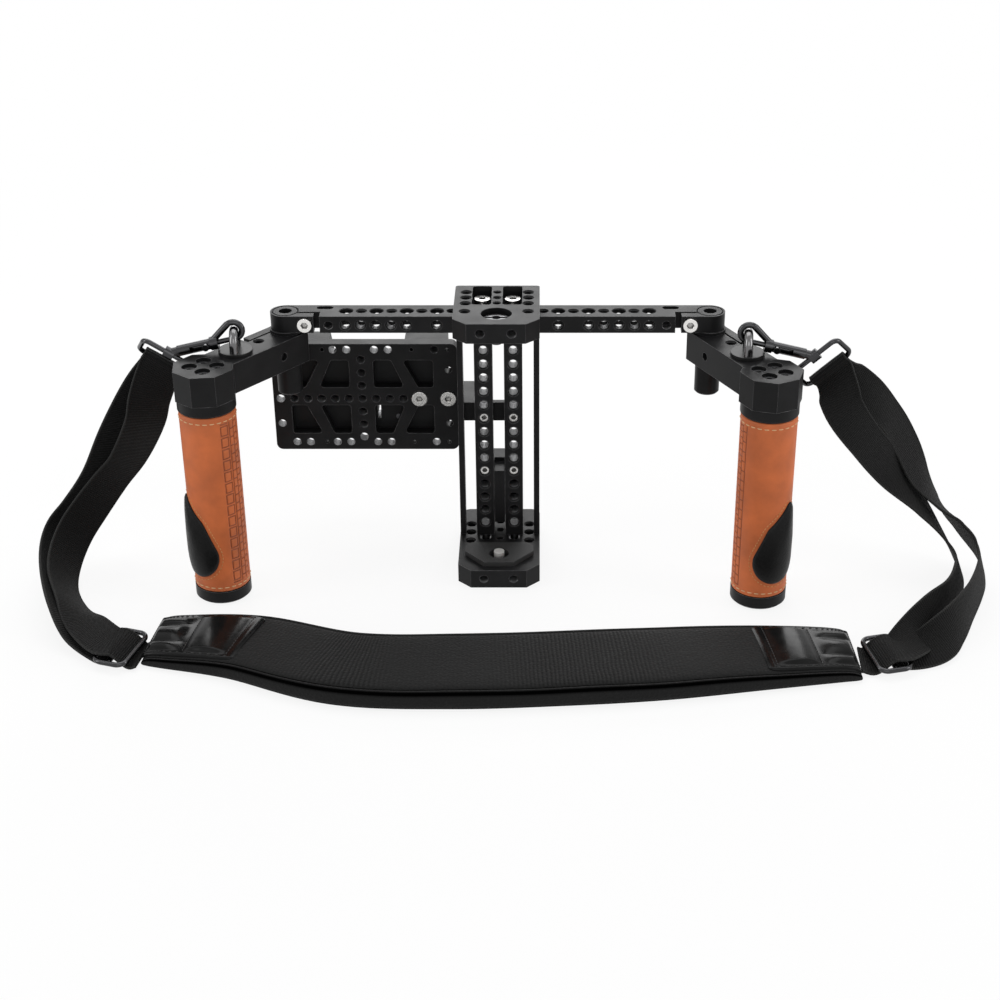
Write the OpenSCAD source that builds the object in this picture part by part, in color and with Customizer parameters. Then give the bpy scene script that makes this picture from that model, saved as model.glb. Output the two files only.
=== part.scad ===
// Monitor cage with two swinging hand grips and a padded neck strap.
// X runs to the right, Y away from the viewer and Z up, in millimetres.
// The origin is on the centre plane, on the underside of the bottom plate.

/* [Plates] */
// Height from the underside of the bottom plate to the top face
cage_h = 173.5; // [165:0.5:190]
// Thickness of the top and bottom plates
plate_t = 12; // [11:0.5:15]
// Width of the top and bottom plates
plate_w = 50; // [50:1:60]
// Distance from the rod plane to the front edge of both plates
plate_front = 50; // [48:1:58]
// Distance from the rod plane to the back edge of the top plate
top_back = 10; // [9:1:14]
// Distance from the rod plane to the back edge of the bottom plate
bottom_back = 29; // [26:1:36]
// Chamfer of the front corners of both plates
plate_chamfer = 8; // [4:1:10]
// Distance from the rod plane forward to the captive screws
captive_reach = 34; // [32:1:36]

/* [Bars and crossbar] */
// Spacing of the tapped hole grid
hole_pitch = 9; // [9:0.5:10]
// Width of one perforated bar
bar_w = 11; // [10:0.5:12]
// Thickness of one perforated bar
bar_t = 10; // [9:0.5:12]
// Number of tapped holes in one bar
bar_holes = 14; // [10:1:14]
// Height of the crossbar
cross_h = 10.5; // [10:0.5:12]
// Depth of the crossbar
cross_d = 18; // [18:0.5:22]
// Distance from the centre plane to each rod
rod_x = 126.2; // [124:0.2:135]
// Diameter of the rods
rod_d = 15; // [14:0.5:16]
// Length of the rods
rod_len = 52; // [46:1:60]

/* [Arms and grips] */
// Angle of the left arm outward from straight ahead
left_turn = 38; // [20:1:45]
// Angle of the right arm outward from straight ahead
right_turn = 27.5; // [20:0.5:45]
// Distance from the rod to the grip axis
arm_reach = 67; // [66:1:75]
// Width of an arm
arm_w = 23.5; // [22:0.5:26]
// Height of an arm
arm_t = 18.5; // [17:0.5:20]
// Width of the arm's head across flats
head_w = 34; // [33:0.5:36]
// Diameter of the leather grip
grip_d = 33; // [31:0.5:34]
// Height of the grip's end cap
cap_h = 8; // [6:0.5:12]
// Height of the grip's collar
collar_h = 7.5; // [5:0.5:10]

/* [Side plate] */
// Width of the perforated side plate
side_w = 115; // [112:1:118]
// Height of the perforated side plate
side_h = 72; // [70:1:72]
// Thickness of the perforated side plate
side_t = 8; // [6:0.5:9]
// Spacing of the holes in the side plate
side_pitch = 8.5; // [8:0.1:8.6]

/* [Strap] */
// Width of the webbing
web_w = 25; // [20:1:26]
// Thickness of the webbing
web_t = 1.8; // [1.2:0.1:2]
// Thickness of the neck pad at its middle
pad_t = 14; // [10:0.5:16]
// Width of the neck pad at its middle
pad_w = 63; // [50:1:66]

/* [Clearances] */
// Radial clearance of turning and sliding pins
run_gap = 0.05; // [0.02:0.01:0.09]
// Clearance between sliding plates and what they pass
slide_gap = 0.1; // [0.05:0.05:0.2]
// Radial clearance of screws in their holes
screw_gap = 0.05; // [0.02:0.01:0.2]

/* [Hidden] */
$fn = 48;
// Margin that carries a cut past a face
eps = 0.5;

// Plane of the bars, the crossbar and the rods
axis_y = 6;
front_y = axis_y - plate_front;
top_back_y = axis_y + top_back;
bottom_back_y = axis_y + bottom_back;
captive_y = axis_y - captive_reach;
top_z = cage_h - plate_t;
cross_top = top_z - slide_gap;
cross_z = top_z - cross_h;
bar_z = plate_t + slide_gap;
first_hole_z = plate_t + hole_pitch;

// Quarter-inch hardware: tapped hole, countersink and stud radii
tap_r = 2.65;
sink_r = 3.5;
stud_r = 3.175;
// Sunk cap screws of 5 mm thread
screw_r = 2.5;
head_r = 4.25;
head_h = 4;
hex_r = 2.3;
hex_d = 2.4;

// Wells and slots that let the plates slide on the screws of the bars
well_w = 11.5;
well_wall = 1.2;
well_corner = 2;
well_end_gap = 1.5;
well_slot_w = 7;
well_head_r = 4.7;
well_d = 8.2;
under_well_d = 7;
captive_d = 7;
top_rearward = 14;
top_forward = 3;
bottom_travel = 8;
bar_screw_in = 8;
base_screw_in = 5;

// Crossbar clamps
clamp_reach = 21;
notch_w = 3.6;
slit_back = 1.5;
slit_w = 2;
clamp_screw_in = 12.2;
head_recess = 2;
big_tap_r = 3.97;
big_sink_r = 4.4;
cross_rows = [4, 6, 7, 8, 9, 10];
cross_row_drop = 0.4;
end_hole_x = 100;
end_hole_d = 7;
end_slot_x = 103;
end_slot_y = 5;
end_slot_half = 2.75;
end_slot_r = 2.25;
rail_t = 3.5;
rail_d = 8;
rail_in = 0.2;
tenon_h = 4;
tenon_d = 5;
tenon_t = 2;
spacer_h = 2;
spacer_r = 9.8;
rod_tap_r = 3.95;
rod_tap_d = 14;

// Arms, measured along the arm from the rod
arm_top = cross_z - spacer_h;
arm_z = arm_top - arm_t;
arm_end = 10.4;
arm_corner = 4.5;
arm_slit_v = 5;
arm_slit_w = 1.5;
arm_notch_u = 24;
arm_notch_w = 3;
arm_screw_u = 14.5;
arm_hole = [22, 1.2];
arm_hole_d = 7;
eye_u = 41.5;
head_hole = 5.5;
grip_core_r = 11;
collar_r = head_w / 2;
grip_top = arm_z - collar_h;
pin_r = 4;
thumb_t = 2.4;
left_thumb = 47;
right_thumb = 62;
// Circles of the thumb pad's outline: distance round the grip, height, radius
thumb_drop = [[0, 32, 14.5], [3.4, 48, 11.6], [8.5, 66, 3]];

// Eye bolts
eye_base_r = 9.9;
eye_base_h = 2;
eye_ring_r = 7.2;
eye_wire_r = 2.6;
eye_z = arm_top + 6.5;
eye_shank_r = 3;
eye_shank_l = 9;

// Snap hooks, measured along the hook from the strap loop
hook_pitch = 12;
hook_turn = 4;
barrel_from = 2.4;
barrel_to = 29.5;
barrel_r = 3.2;
hook_u = 40;
hook_bend_r = 5;
hook_wire_r = 1.8;
hook_close = 125;
hook_leg = 12.5;
hook_head_r = 4;
hook_head_l = 4.5;
hook_ring_u = hook_u + hook_bend_r - hook_wire_r - eye_wire_r - 0.3;
gate_r = 1.6;
gate_from = 15;
gate_to = 39.7;
gate_open = 8;
gate_bore_from = 6;
nub_u = 22.4;
nub_r = 1.3;
nub_h = 5;
nub_head_r = 2;
nub_slot_w = 3.2;
knuckle_r = 3.4;
knuckle_w = 6;
loop_bore_w = 16;

// Strap loops: wire, span and depth between wire centres, and turn of each loop
loop_wire_r = 1.5;
loop_w = 32;
loop_d = 18;
loop_corner = 4;
left_loop = [133, -32, -1.5];
right_loop = [117, 42, 0];

// Bracket, side plate and battery slide
flange_t = 4;
flange_from = -22.4;
flange_to = 14;
flange_h = 12.2;
bracket_z = first_hole_z + 8 * hole_pitch;
leg_w = 7;
side_y = 30;
side_right = -26;
side_left = side_right - side_w;
side_top = min(bracket_z + 36.8, arm_z - 0.6);
side_corner = 4;
side_column = 55.5;
side_mid = side_left + side_column;
tongue_t = 5;
tongue_to = -56;
plate_screws_x = [-50, -32];
silver_r = 4.75;
slide_t = 12;
back_t = 3;
slide_y = side_y + side_t;
ear_left = -120.5;
ear_right = -32;
slide_mouth = 47;
slide_from = -105.5;
slide_throat = 34;
slide_to = tongue_to - 2;
slide_mid = slide_from + slide_mouth / 2;
slide_screws_x = [ear_left + 6, slide_to - 6];
throat_z = side_top - 42;
slide_foot = throat_z - 15.8;
back_z = slide_foot - 6;
notch_z = bracket_z - flange_h / 2 - 1;
notch_h = flange_h + 2;
slit_x = side_mid + 8.5;
latch_w = 12;
latch_h = 9;
latch_push = 2;

// Truss cutouts: distance from the middle column, lower edge then upper edge
inner_near = 7.5;
inner_far = [26.5, 18.5];
outer_near = [35, 25.5];
outer_far = 44.5;
truss_corner = 1.8;

// Block behind the bars
block_x = 13;
block_d = 15.8;
block_tongue = 3.2;
block_inset = 0.2;
block_step_d = 3.2;
block_step_h = 2.85;
block_z = first_hole_z;
block_top = 60;
block_row = first_hole_z + 4 * hole_pitch;

// Shapes used by many pieces

// Cylinder along Y from the plane y0
module bore_y(x, y0, z, r, l) {
  translate([x, y0, z]) rotate([-90, 0, 0]) cylinder(r = r, h = l);
}

// Tapped hole along Y through a wall, countersunk at both faces
module tapped_y(x, y0, z, l) {
  bore_y(x, y0 - eps, z, tap_r, l + 2 * eps);
  translate([x, y0 - 0.01, z]) rotate([-90, 0, 0]) cylinder(r1 = sink_r, r2 = tap_r, h = sink_r - tap_r);
  translate([x, y0 + l + 0.01, z]) rotate([90, 0, 0]) cylinder(r1 = sink_r, r2 = tap_r, h = sink_r - tap_r);
}

// Tapped hole along Z, countersunk at the upper face z1
module tapped_z(x, y, z1, l, r = tap_r, sink = sink_r) {
  translate([x, y, z1 - l]) cylinder(r = r, h = l + eps);
  translate([x, y, z1 - (sink - r) + 0.01]) cylinder(r1 = r, r2 = sink, h = sink - r);
}

// Slot of width w along Y between two centres
module slot_z(x, y0, y1, z0, w, h) {
  translate([x, y0, z0]) cylinder(r = w / 2, h = h);
  translate([x, y1, z0]) cylinder(r = w / 2, h = h);
  translate([x - w / 2, y0, z0]) cube([w, y1 - y0, h]);
}

// Recess with straight sides and rounded corners between two ends along Y
module recess_z(x, y0, y1, z0, w, r, h) {
  for (s = [-1, 1], y = [y0 + r, y1 - r])
    translate([x + s * (w / 2 - r), y, z0]) cylinder(r = r, h = h);
  translate([x - w / 2, y0 + r, z0]) cube([w, y1 - y0 - 2 * r, h]);
  translate([x - w / 2 + r, y0, z0]) cube([w - 2 * r, y1 - y0, h]);
}

// Cap screw along +Z: the head starts at z 0, the shank goes down from there
module cap_screw(l, hr = head_r, hh = head_h, r = screw_r) {
  difference() {
    union() {
      cylinder(r = hr, h = hh);
      translate([0, 0, -l]) cylinder(r = r, h = l + 0.1);
    }
    translate([0, 0, hh - min(hex_d, 0.6 * hh)])
      cylinder(r = min(hex_r, 0.55 * hr), h = hex_d + eps, $fn = 6);
  }
}

// Rounded rectangular ring of round wire in the XY plane, y from 0 to d
module wire_ring(w, d, r, c) {
  for (y = [0, d])
    translate([-(w / 2 - c), y, 0]) rotate([0, 90, 0]) cylinder(r = r, h = w - 2 * c);
  for (s = [-1, 1])
    translate([s * w / 2, c, 0]) rotate([-90, 0, 0]) cylinder(r = r, h = d - 2 * c);
  for (k = [0 : 3]) {
    sx = (k == 0 || k == 3) ? 1 : -1;
    cy = k < 2 ? d - c : c;
    translate([sx * (w / 2 - c), cy, 0]) rotate([0, 0, 90 * k])
      rotate_extrude(angle = 90) translate([c, 0]) circle(r = r);
  }
}

// Outline of a plate: chamfered in front, rounded at the back
module plate_outline(back, r) {
  w = plate_w / 2;
  polygon([
    [-w + plate_chamfer, front_y], [w - plate_chamfer, front_y], [w, front_y + plate_chamfer],
    [w, back - r], [w - r, back], [-w + r, back], [-w, back - r], [-w, front_y + plate_chamfer]
  ]);
  for (s = [-1, 1])
    translate([s * (w - r), back - r]) circle(r = r);
}

// Plates

module top_plate() {
  color([0.16, 0.16, 0.17])
  difference() {
    translate([0, 0, top_z]) linear_extrude(height = plate_t) plate_outline(top_back_y, 2);
    for (s = [-1, 1]) {
      slot_z(s * hole_pitch, axis_y - top_rearward, axis_y + top_forward,
             top_z - eps, well_slot_w, plate_t + 2 * eps);
      recess_z(s * hole_pitch, axis_y - top_rearward - well_head_r - well_end_gap, top_back_y - well_wall,
               cage_h - well_d, well_w, well_corner, well_d + eps);
      bore_y(s * hole_pitch, front_y - eps, top_z + plate_t / 2, tap_r, hole_pitch + eps);
      for (y = [-0.5, -9, -18])
        tapped_z(s * 18.3, axis_y + y, cage_h, plate_t + eps);
      tapped_z(s * 18.3, axis_y - 30.3, cage_h, plate_t + eps);
    }
    for (y = [-0.5, -9, -17.5])
      tapped_z(0, axis_y + y, cage_h, plate_t + eps, 2.1, 2.6);
    translate([0, captive_y, top_z - eps]) cylinder(r = tap_r, h = plate_t);
    translate([0, captive_y, cage_h - captive_d]) cylinder(r = 9, h = captive_d + eps);
  }
}

// Captive screw: a slotted head, a relieved neck and the stud that stands out of the plate
module captive_screw(stud_l) {
  neck = plate_t - captive_d + slide_gap + 0.3;
  difference() {
    union() {
      cylinder(r = 7.8, h = 4.5);
      translate([0, 0, -neck - 0.1]) cylinder(r = tap_r - run_gap, h = neck + 0.2);
      translate([0, 0, -neck - stud_l]) cylinder(r = stud_r, h = stud_l);
    }
    translate([-9, -0.9, 2.7]) cube([18, 1.8, 3]);
    translate([0, 0, 3.3]) cylinder(r = 2.6, h = 3);
  }
}

module top_screw() {
  color([0.3, 0.3, 0.31])
  translate([0, captive_y, cage_h - captive_d + slide_gap]) captive_screw(6);
}

module bottom_plate() {
  color([0.14, 0.14, 0.15])
  difference() {
    linear_extrude(height = plate_t) plate_outline(bottom_back_y, 6);
    for (s = [-1, 1]) {
      slot_z(s * hole_pitch, axis_y - bottom_travel, axis_y + bottom_travel,
             -eps, well_slot_w, plate_t + 2 * eps);
      slot_z(s * hole_pitch, axis_y - bottom_travel, axis_y + bottom_travel,
             -eps, well_w, under_well_d + eps);
      bore_y(s * hole_pitch, front_y - eps, plate_t / 2, tap_r, hole_pitch + eps);
      for (y = [9, -1.5, -12])
        tapped_z(s * 18.3, axis_y + y, plate_t, plate_t + eps);
    }
    for (y = [12, 1.5, -9])
      tapped_z(0, axis_y + y, plate_t, 8, 2.1, 2.6);
    translate([0, captive_y, 0]) cylinder(r = tap_r, h = plate_t + eps);
    translate([0, captive_y, -eps]) cylinder(r = 9, h = captive_d + eps);
  }
}

module bottom_pad() {
  color([0.1, 0.1, 0.1])
  difference() {
    translate([0, captive_y, plate_t]) linear_extrude(height = 3)
      polygon([[-9, -11], [9, -11], [21, 3], [21, 10], [17, 14], [-17, 14], [-21, 10], [-21, 3]]);
    translate([0, captive_y, plate_t - eps]) cylinder(r = 6, h = 3 + 2 * eps);
  }
}

module bottom_screw() {
  color([0.35, 0.35, 0.36])
  translate([0, captive_y, captive_d - slide_gap]) rotate([180, 0, 0]) captive_screw(4.5);
}

// Bars, rails and crossbar

module bar(s) {
  x = s * hole_pitch;
  color([0.15, 0.15, 0.16])
  difference() {
    translate([x - bar_w / 2, axis_y - bar_t / 2, bar_z]) cube([bar_w, bar_t, cross_z - bar_z]);
    for (k = [0 : bar_holes - 1])
      tapped_y(x, axis_y - bar_t / 2, first_hole_z + k * hole_pitch, bar_t);
    translate([x, axis_y, cross_z - bar_screw_in - 1]) cylinder(r = screw_r + screw_gap, h = bar_screw_in + 2);
    translate([x, axis_y, bar_z - eps]) cylinder(r = screw_r + screw_gap, h = base_screw_in + 0.4 + eps);
  }
}

module left_bar() {
  bar(-1);
}

module right_bar() {
  bar(1);
}

module side_rails() {
  color([0.15, 0.15, 0.16])
  for (s = [-1, 1])
    translate([s * (plate_w / 2 - rail_in - rail_t / 2), axis_y, 0]) {
      translate([-rail_t / 2, -rail_d / 2, bar_z]) cube([rail_t, rail_d, cross_z - bar_z]);
      translate([-tenon_t / 2, -tenon_d / 2, cross_z - 0.1]) cube([tenon_t, tenon_d, tenon_h]);
    }
}

// Upper holes, large and small in turn, and the front holes that cross them
module crossbar_holes() {
  for (s = [-1, 1]) {
    for (k = [3 : 10])
      tapped_z(s * k * hole_pitch, axis_y, cross_top, cross_h + 1,
               k % 2 == 0 ? big_tap_r : tap_r, k % 2 == 0 ? big_sink_r : sink_r);
    for (k = cross_rows)
      tapped_y(s * k * hole_pitch, axis_y - cross_d / 2, cross_z + cross_h / 2 - cross_row_drop, cross_d);
    bore_y(s * end_hole_x, axis_y - cross_d / 2 - eps, cross_z + cross_h / 2 - cross_row_drop,
           tap_r, end_hole_d);
    translate([s * end_slot_x, axis_y + end_slot_y, cross_z - eps]) {
      for (d = [-end_slot_half, end_slot_half])
        translate([d, 0, 0]) cylinder(r = end_slot_r, h = cross_h + 2 * eps);
      translate([-end_slot_half, -end_slot_r, 0])
        cube([2 * end_slot_half, 2 * end_slot_r, cross_h + 2 * eps]);
    }
    translate([s * hole_pitch, axis_y, cross_z - eps]) cylinder(r = screw_r + 0.2, h = cross_h + 2 * eps);
    translate([s * (plate_w / 2 - rail_in - rail_t / 2) - tenon_t / 2 - screw_gap,
               axis_y - tenon_d / 2 - screw_gap, cross_z - eps])
      cube([tenon_t + 2 * screw_gap, tenon_d + 2 * screw_gap, tenon_h + eps + 0.2]);
  }
}

// Bore, slit, notch and screw hole of one end clamp
module crossbar_clamp(s) {
  jaw_y = axis_y - cross_d / 2;
  translate([s * rod_x, axis_y, cross_z - eps]) cylinder(r = rod_d / 2 + screw_gap, h = cross_h + 2 * eps);
  translate([s * rod_x, axis_y, cross_top - 0.7]) cylinder(r1 = rod_d / 2, r2 = rod_d / 2 + 0.8, h = 0.8);
  translate([s * (rod_x - clamp_reach + notch_w / 2) - notch_w / 2, jaw_y - eps, cross_z - eps])
    cube([notch_w, cross_d / 2 - slit_back + eps, cross_h + 2 * eps]);
  translate([s * (rod_x - clamp_reach / 2) - clamp_reach / 2, axis_y - slit_back - slit_w, cross_z - eps])
    cube([clamp_reach, slit_w, cross_h + 2 * eps]);
  bore_y(s * (rod_x - clamp_screw_in), jaw_y - eps, cross_z + cross_h / 2,
         screw_r + screw_gap, cross_d / 2 + 6.5);
  bore_y(s * (rod_x - clamp_screw_in), jaw_y - eps, cross_z + cross_h / 2,
         head_r + 0.4, head_recess + eps);
}

module crossbar() {
  color([0.15, 0.15, 0.16])
  difference() {
    union() {
      translate([-rod_x, axis_y - cross_d / 2, cross_z]) cube([2 * rod_x, cross_d, cross_top - cross_z]);
      for (s = [-1, 1])
        translate([s * rod_x, axis_y, cross_z]) cylinder(r = cross_d / 2, h = cross_top - cross_z);
    }
    crossbar_holes();
    crossbar_clamp(-1);
    crossbar_clamp(1);
  }
}

module rod(s) {
  color([0.12, 0.12, 0.13])
  translate([s * rod_x, axis_y, cross_top - rod_len])
  difference() {
    union() {
      translate([0, 0, 1]) cylinder(r = rod_d / 2, h = rod_len - 1.5);
      cylinder(r1 = rod_d / 2 - 1, r2 = rod_d / 2, h = 1.01);
      translate([0, 0, rod_len - 0.51]) cylinder(r1 = rod_d / 2, r2 = rod_d / 2 - 0.5, h = 0.51);
    }
    translate([0, 0, rod_len - rod_tap_d]) cylinder(r = rod_tap_r, h = rod_tap_d + eps);
  }
}

module left_rod() {
  rod(-1);
}

module right_rod() {
  rod(1);
}

module rod_spacers() {
  color([0.13, 0.13, 0.14])
  for (s = [-1, 1])
    translate([s * rod_x, axis_y, arm_top + slide_gap])
    difference() {
      cylinder(r = spacer_r, h = spacer_h - slide_gap);
      translate([0, 0, -eps]) cylinder(r = rod_d / 2 + screw_gap, h = spacer_h + 2 * eps);
    }
}

module clamp_screws() {
  color([0.78, 0.78, 0.76])
  for (s = [-1, 1])
    translate([s * (rod_x - clamp_screw_in), axis_y - cross_d / 2 + head_recess, cross_z + cross_h / 2])
      rotate([90, 0, 0]) cap_screw(cross_d / 2 + 3.5);
}

module bar_end_screws() {
  color([0.78, 0.78, 0.76])
  for (s = [-1, 1])
    translate([s * hole_pitch, axis_y, 0]) {
      translate([0, 0, cage_h - well_d + slide_gap])
        cap_screw(cage_h - well_d + slide_gap - cross_z + bar_screw_in, well_head_r);
      translate([0, 0, under_well_d - slide_gap]) rotate([180, 0, 0])
        cap_screw(plate_t - under_well_d + 2 * slide_gap + base_screw_in, well_head_r);
    }
}

module bar_set_screws() {
  color([0.8, 0.8, 0.78])
  for (s = [-1, 1], z = [block_row, bracket_z])
    difference() {
      bore_y(s * hole_pitch, axis_y - bar_t / 2 + 1.2, z, tap_r - screw_gap, bar_t + 2);
      translate([s * hole_pitch, axis_y - bar_t / 2 + 0.7, z]) rotate([-90, 0, 0])
        cylinder(r = 1.7, h = 3, $fn = 6);
    }
}

// Bracket, side plate, battery slide and rear block

module bracket() {
  back = axis_y + bar_t / 2;
  end = slide_y + tongue_t;
  color([0.16, 0.16, 0.17])
  difference() {
    translate([0, 0, bracket_z - flange_h / 2]) linear_extrude(height = flange_h)
      polygon([
        [flange_from, back], [flange_to, back], [flange_to, back + flange_t],
        [flange_from + leg_w, back + flange_t], [flange_from + leg_w, end],
        [tongue_to, end], [tongue_to, slide_y], [flange_from, slide_y]
      ]);
    for (s = [-1, 1])
      bore_y(s * hole_pitch, back - eps, bracket_z, tap_r, flange_t + 2 * eps);
    for (x = plate_screws_x)
      bore_y(x, slide_y - eps, bracket_z, tap_r + screw_gap, tongue_t + 2 * eps);
  }
}

// Outline of one truss cutout on the side a of the middle column, with rounded corners
module truss_cut(a, z0, z1, near, far) {
  p = [
    [side_mid + a * near[0], z0], [side_mid + a * far[0], z0],
    [side_mid + a * far[1], z1], [side_mid + a * near[1], z1]
  ];
  out = [for (i = [0 : 3]) unit(p[(i + 1) % 4] - p[i])];
  into = [for (i = [0 : 3]) out[(i + 3) % 4]];
  half = [for (i = [0 : 3]) acos(-into[i] * out[i]) / 2];
  cut = [for (i = [0 : 3]) truss_corner / tan(half[i])];
  polygon([
    for (i = [0 : 3], leaving = [false, true])
      leaving ? p[i] + cut[i] * out[i] : p[i] - cut[i] * into[i]
  ]);
  for (i = [0 : 3])
    translate(p[i] + unit(out[i] - into[i]) * truss_corner / sin(half[i])) circle(r = truss_corner);
}

module side_outline() {
  x0 = side_left + side_corner;
  x1 = side_right - side_corner;
  z0 = side_top - side_h + side_corner;
  z1 = side_top - side_corner;
  translate([side_left, z0]) square([side_w, z1 - z0]);
  translate([x0, z0 - side_corner]) square([x1 - x0, side_h]);
  for (x = [x0, x1], z = [z0, z1])
    translate([x, z]) circle(r = side_corner);
}

// Places of the holes: middle row, middle column, then the upper, lower and right edges
module side_holes() {
  up = side_top - 3.8 - bracket_z;
  for (k = [-6 : 3])
    translate([side_mid + k * side_pitch, bracket_z]) circle(r = tap_r);
  for (k = [-3, -2, -1, 1, 2, 3])
    translate([side_mid, bracket_z + k * 8.8]) circle(r = tap_r);
  for (x = [-2, -1, 1, 2])
    translate([side_mid + x * side_pitch, bracket_z + up]) circle(r = 2.5);
  for (x = [-5, -4, -2, -1, 1, 2])
    translate([side_mid + x * side_pitch, bracket_z - 30]) circle(r = 2.5);
  for (z = [up, -30])
    translate([side_mid + 45.5, bracket_z + z]) circle(r = 2.5);
  for (x = [-23.5, 31.5, 53.5], z = [up, -30])
    translate([side_mid + x, bracket_z + z]) circle(r = 1.2);
  for (z = [19.5, -17])
    translate([side_mid + 54, bracket_z + z]) circle(r = 2.2);
  translate([side_mid - 51, bracket_z - 17]) circle(r = 2.5);
}

module side_plate() {
  high = bracket_z + 7.5;
  low = bracket_z - 24;
  color([0.12, 0.12, 0.13])
  difference() {
    translate([0, slide_y, 0]) rotate([90, 0, 0]) linear_extrude(height = side_t)
    difference() {
      side_outline();
      side_holes();
      for (a = [-1, 1]) {
        truss_cut(a, high, high + 18.5, [inner_near, inner_near], inner_far);
        truss_cut(a, high, high + 18.5, outer_near, [outer_far, outer_far]);
        truss_cut(a, low, low + 19.5, [inner_near, inner_near], [inner_far[1], inner_far[0]]);
        truss_cut(a, low, low + 19.5, [outer_near[1], outer_near[0]], [outer_far, outer_far]);
      }
    }
    for (x = plate_screws_x) {
      bore_y(x, side_y - eps, bracket_z, tap_r + screw_gap, side_t + 10);
      bore_y(x, side_y - 10, bracket_z, silver_r + 0.5, 13);
    }
  }
}

module plate_screws() {
  color([0.8, 0.8, 0.78])
  for (x = plate_screws_x)
    translate([x, side_y + 3, bracket_z]) rotate([90, 0, 0])
      cap_screw(side_t - 3 + tongue_t, silver_r, head_h, tap_r);
}

// Battery slide: a backing plate and two walls round a tapering mouth that is open at the top
module slide_walls() {
  taper = (slide_mouth - slide_throat) / 2;
  mouth_to = slide_from + slide_mouth;
  polygon([
    [ear_left, slide_foot], [slide_to, slide_foot],
    [slide_to, notch_z + notch_h], [ear_right, notch_z + notch_h],
    [ear_right, side_top], [mouth_to, side_top],
    [mouth_to - taper, throat_z], [slide_from + taper, throat_z],
    [slide_from, side_top], [ear_left, side_top]
  ]);
}

module battery_slide() {
  back_from = side_left + 9;
  color([0.13, 0.13, 0.14])
  difference() {
    union() {
      translate([0, slide_y + slide_t, 0]) rotate([90, 0, 0]) linear_extrude(height = slide_t) slide_walls();
      translate([back_from, slide_y, back_z]) cube([ear_right - back_from, back_t, side_top - 8 - back_z]);
    }
    translate([slide_to, slide_y - eps, notch_z]) cube([-slide_to, slide_t + 2 * eps, notch_h]);
    translate([slit_x, slide_y - eps, notch_z - 10]) cube([2, back_t + 10, 10]);
    for (x = slide_screws_x)
      bore_y(x, slide_y - eps, slide_foot + 5, 1.55 + screw_gap, slide_t + 2 * eps);
    translate([slide_mid - latch_w / 2 - slide_gap, slide_y + back_t, slide_foot - eps])
      cube([latch_w + 2 * slide_gap, slide_t, 6 + eps]);
  }
}

module slide_screws() {
  color([0.35, 0.35, 0.36])
  for (x = slide_screws_x)
    translate([x, slide_y + slide_t, slide_foot + 5]) rotate([-90, 0, 0])
      cap_screw(slide_t, 2.75, 2.2, 1.55);
}

module contact_block() {
  color([0.1, 0.1, 0.1])
  difference() {
    translate([slide_mid - 13, slide_y + back_t, throat_z]) cube([26, slide_t - back_t - 2, 7]);
    for (k = [-3 : 3])
      if (k != 0)
        translate([slide_mid + k * 3.2 - 0.9, slide_y + back_t + 2, throat_z + 3]) cube([1.8, 3, 5]);
  }
}

// Release latch in the foot of the slide, pushed up to free the battery
module release_latch() {
  color([0.3, 0.3, 0.31])
  translate([slide_mid - latch_w / 2, slide_y + back_t + slide_gap,
             slide_foot + 6 - latch_push - slide_gap - latch_h]) {
    cube([latch_w, slide_t - back_t - slide_gap, latch_h]);
    translate([0, slide_t - back_t - 0.5, 0]) cube([latch_w, 3, 4]);
  }
}

module rear_block() {
  back = axis_y + bar_t / 2;
  step_z = block_top - block_step_h;
  color([0.13, 0.13, 0.14])
  difference() {
    union() {
      translate([-block_x, back, block_z]) cube([2 * block_x, block_d, block_top - block_z]);
      translate([-block_tongue, back - bar_t + block_inset, block_z])
        cube([2 * block_tongue, bar_t, step_z - block_z]);
    }
    translate([-block_tongue, back - eps, step_z])
      cube([2 * block_tongue, block_step_d + eps, block_step_h + eps]);
    for (s = [-1, 1])
      bore_y(s * hole_pitch, back - eps, block_row, tap_r, 8);
  }
}

// Arms and grips. An arm is drawn along +X from the rod and then turned into place

module place_arm(s) {
  turn = s < 0 ? left_turn : right_turn;
  mirror([s < 0 ? 1 : 0, 0, 0])
    translate([rod_x, axis_y, 0]) rotate([0, 0, turn - 90]) children();
}

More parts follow.
